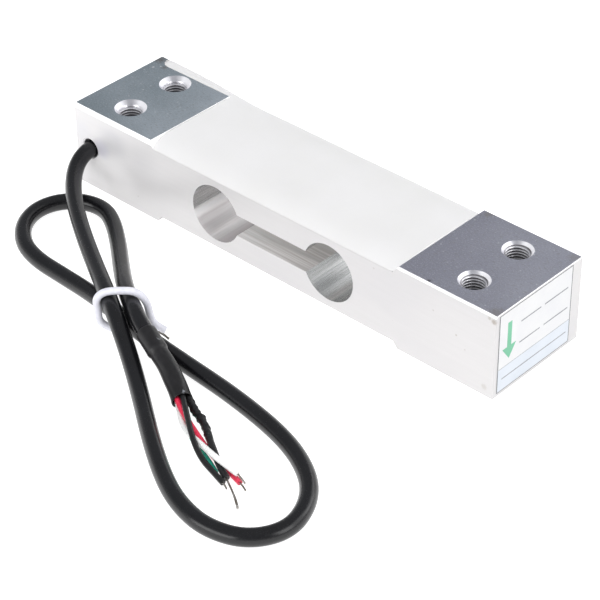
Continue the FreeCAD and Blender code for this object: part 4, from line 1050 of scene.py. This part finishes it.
TIPS = {
    "conductor_red": [(43.4, -71.08, 0.82), (44.1, -71.27, 0.83), (45.04, -71.48, 0.6), (46.42, -71.93, 0.35)],
    "conductor_white": [(42.6, -70.9, 2.5), (43.14, -70.8, 2.29), (43.64, -70.81, 2.0), (44.55, -70.96, 1.6), (45.45, -71.04, 1.1)],
    "conductor_black": [(41.3, -73.9, 1.4), (42.0, -74.06, 1.32), (42.54, -74.17, 1.1), (43.5, -74.47, 0.7)],
    "conductor_green": [(37.3, -71.9, 0.7), (37.98, -72.21, 0.67), (38.5, -72.3, 0.62), (39.23, -72.44, 0.55)],
    "conductor_drain": [(40.6, -72.1, 1.2), (41.34, -72.4, 1.06), (43.28, -73.37, 0.8), (45.29, -74.42, 0.5), (47.04, -75.5, 0.35), (48.99, -76.94, 0.3)],
}
for name, pts in TIPS.items():
    many = 7 if name == "conductor_drain" else 5
    bundle(name + "_strands", [Vector(p) for p in pts], many, 0.15, 0.075, name, 3.0, 0.6 if name == "conductor_drain" else 0.3)
tie_end = bundle("tie_strand_bundle", [Vector(p) for p in [(-5.4, -48.1, 1.7), (-4.9, -48.2, 1.9), (-3.5, -48.55, 2.75), (-1.4, -49.2, 3.8), (0.7, -49.9, 4.6), (2.7, -50.6, 5.0)]],
                 5, 0.17, 0.11, "tie_strands", 5.0, 0.3)

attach(cable, "root")
for name, w in wires.items():
    first = Vector(WIRES[name][0]) * MM

# ------------------------------------------------------------------ floor, light, world
fl = bpy.data.meshes.new("floor")
s = 3.0
fl.from_pydata([(-s, -s, 0), (s, -s, 0), (s, s, 0), (-s, s, 0)], [], [(0, 1, 2, 3)])
floor = bpy.data.objects.new("floor", fl)
floor.location = (0, 0, -0.00002)
scene.collection.objects.link(floor)
nf = Nodes("floor_white")
nf.set(Base_Color=(0.42, 0.42, 0.42), Roughness=0.9, Emission_Color=(1.0, 1.0, 1.0), Emission_Strength=0.92)
nf.bsdf.inputs["Specular IOR Level"].default_value = 0.1
fl.materials.append(nf.mat)

world = bpy.data.worlds.new("world")
scene.world = world
world.use_nodes = True
wt = world.node_tree
bg = wt.nodes["Background"]
tc = wt.nodes.new("ShaderNodeTexCoord")
sep = wt.nodes.new("ShaderNodeSeparateXYZ")
ramp = wt.nodes.new("ShaderNodeValToRGB")
wt.links.new(tc.outputs["Generated"], sep.inputs[0])
wt.links.new(sep.outputs["Z"], ramp.inputs[0])
wt.links.new(ramp.outputs[0], bg.inputs[0])
ramp.color_ramp.elements[0].position = 0.0
ramp.color_ramp.elements[0].color = (0.92, 0.92, 0.93, 1)
ramp.color_ramp.elements[1].position = 1.0
ramp.color_ramp.elements[1].color = (0.55, 0.56, 0.58, 1)
mid = ramp.color_ramp.elements.new(0.45)
mid.color = (0.40, 0.42, 0.45, 1)
low = ramp.color_ramp.elements.new(0.18)
low.color = (0.80, 0.80, 0.82, 1)
bg.inputs[1].default_value = 0.75


def area(name, loc, target, size, energy, size_y=None, mirrored=True):
    d = bpy.data.lights.new(name, "AREA")
    d.energy = energy
    d.shape = "RECTANGLE"
    d.size, d.size_y = size, size_y or size
    o = bpy.data.objects.new(name, d)
    o.location = loc
    o.rotation_euler = (Vector(target) - Vector(loc)).to_track_quat("-Z", "Y").to_euler()
    o.visible_glossy = mirrored
    scene.collection.objects.link(o)
    return o


area("key", (0.15, -0.75, 0.95), (0, 0, 0), 0.7, 5.4, None, False)
area("top", (0.05, 0.05, 1.15), (0, 0, 0), 0.5, 5.0, None, False)
area("side", (0.95, 0.15, 0.55), (0, 0, 0.01), 0.6, 3.0)
area("front", (-0.12, -0.80, 0.26), (0, 0, 0.01), 0.8, 2.6, 0.36)
area("rear", (0.62, 0.66, 0.58), (0, 0, 0.01), 0.62, 1.5)
area("back", (0.12, 0.80, 0.30), (0, 0, 0.01), 0.8, 1.6, 0.36)

scene.view_settings.view_transform = "Standard"
scene.view_settings.look = "None"
scene.view_settings.exposure = 0.0
scene.view_settings.gamma = 1.0
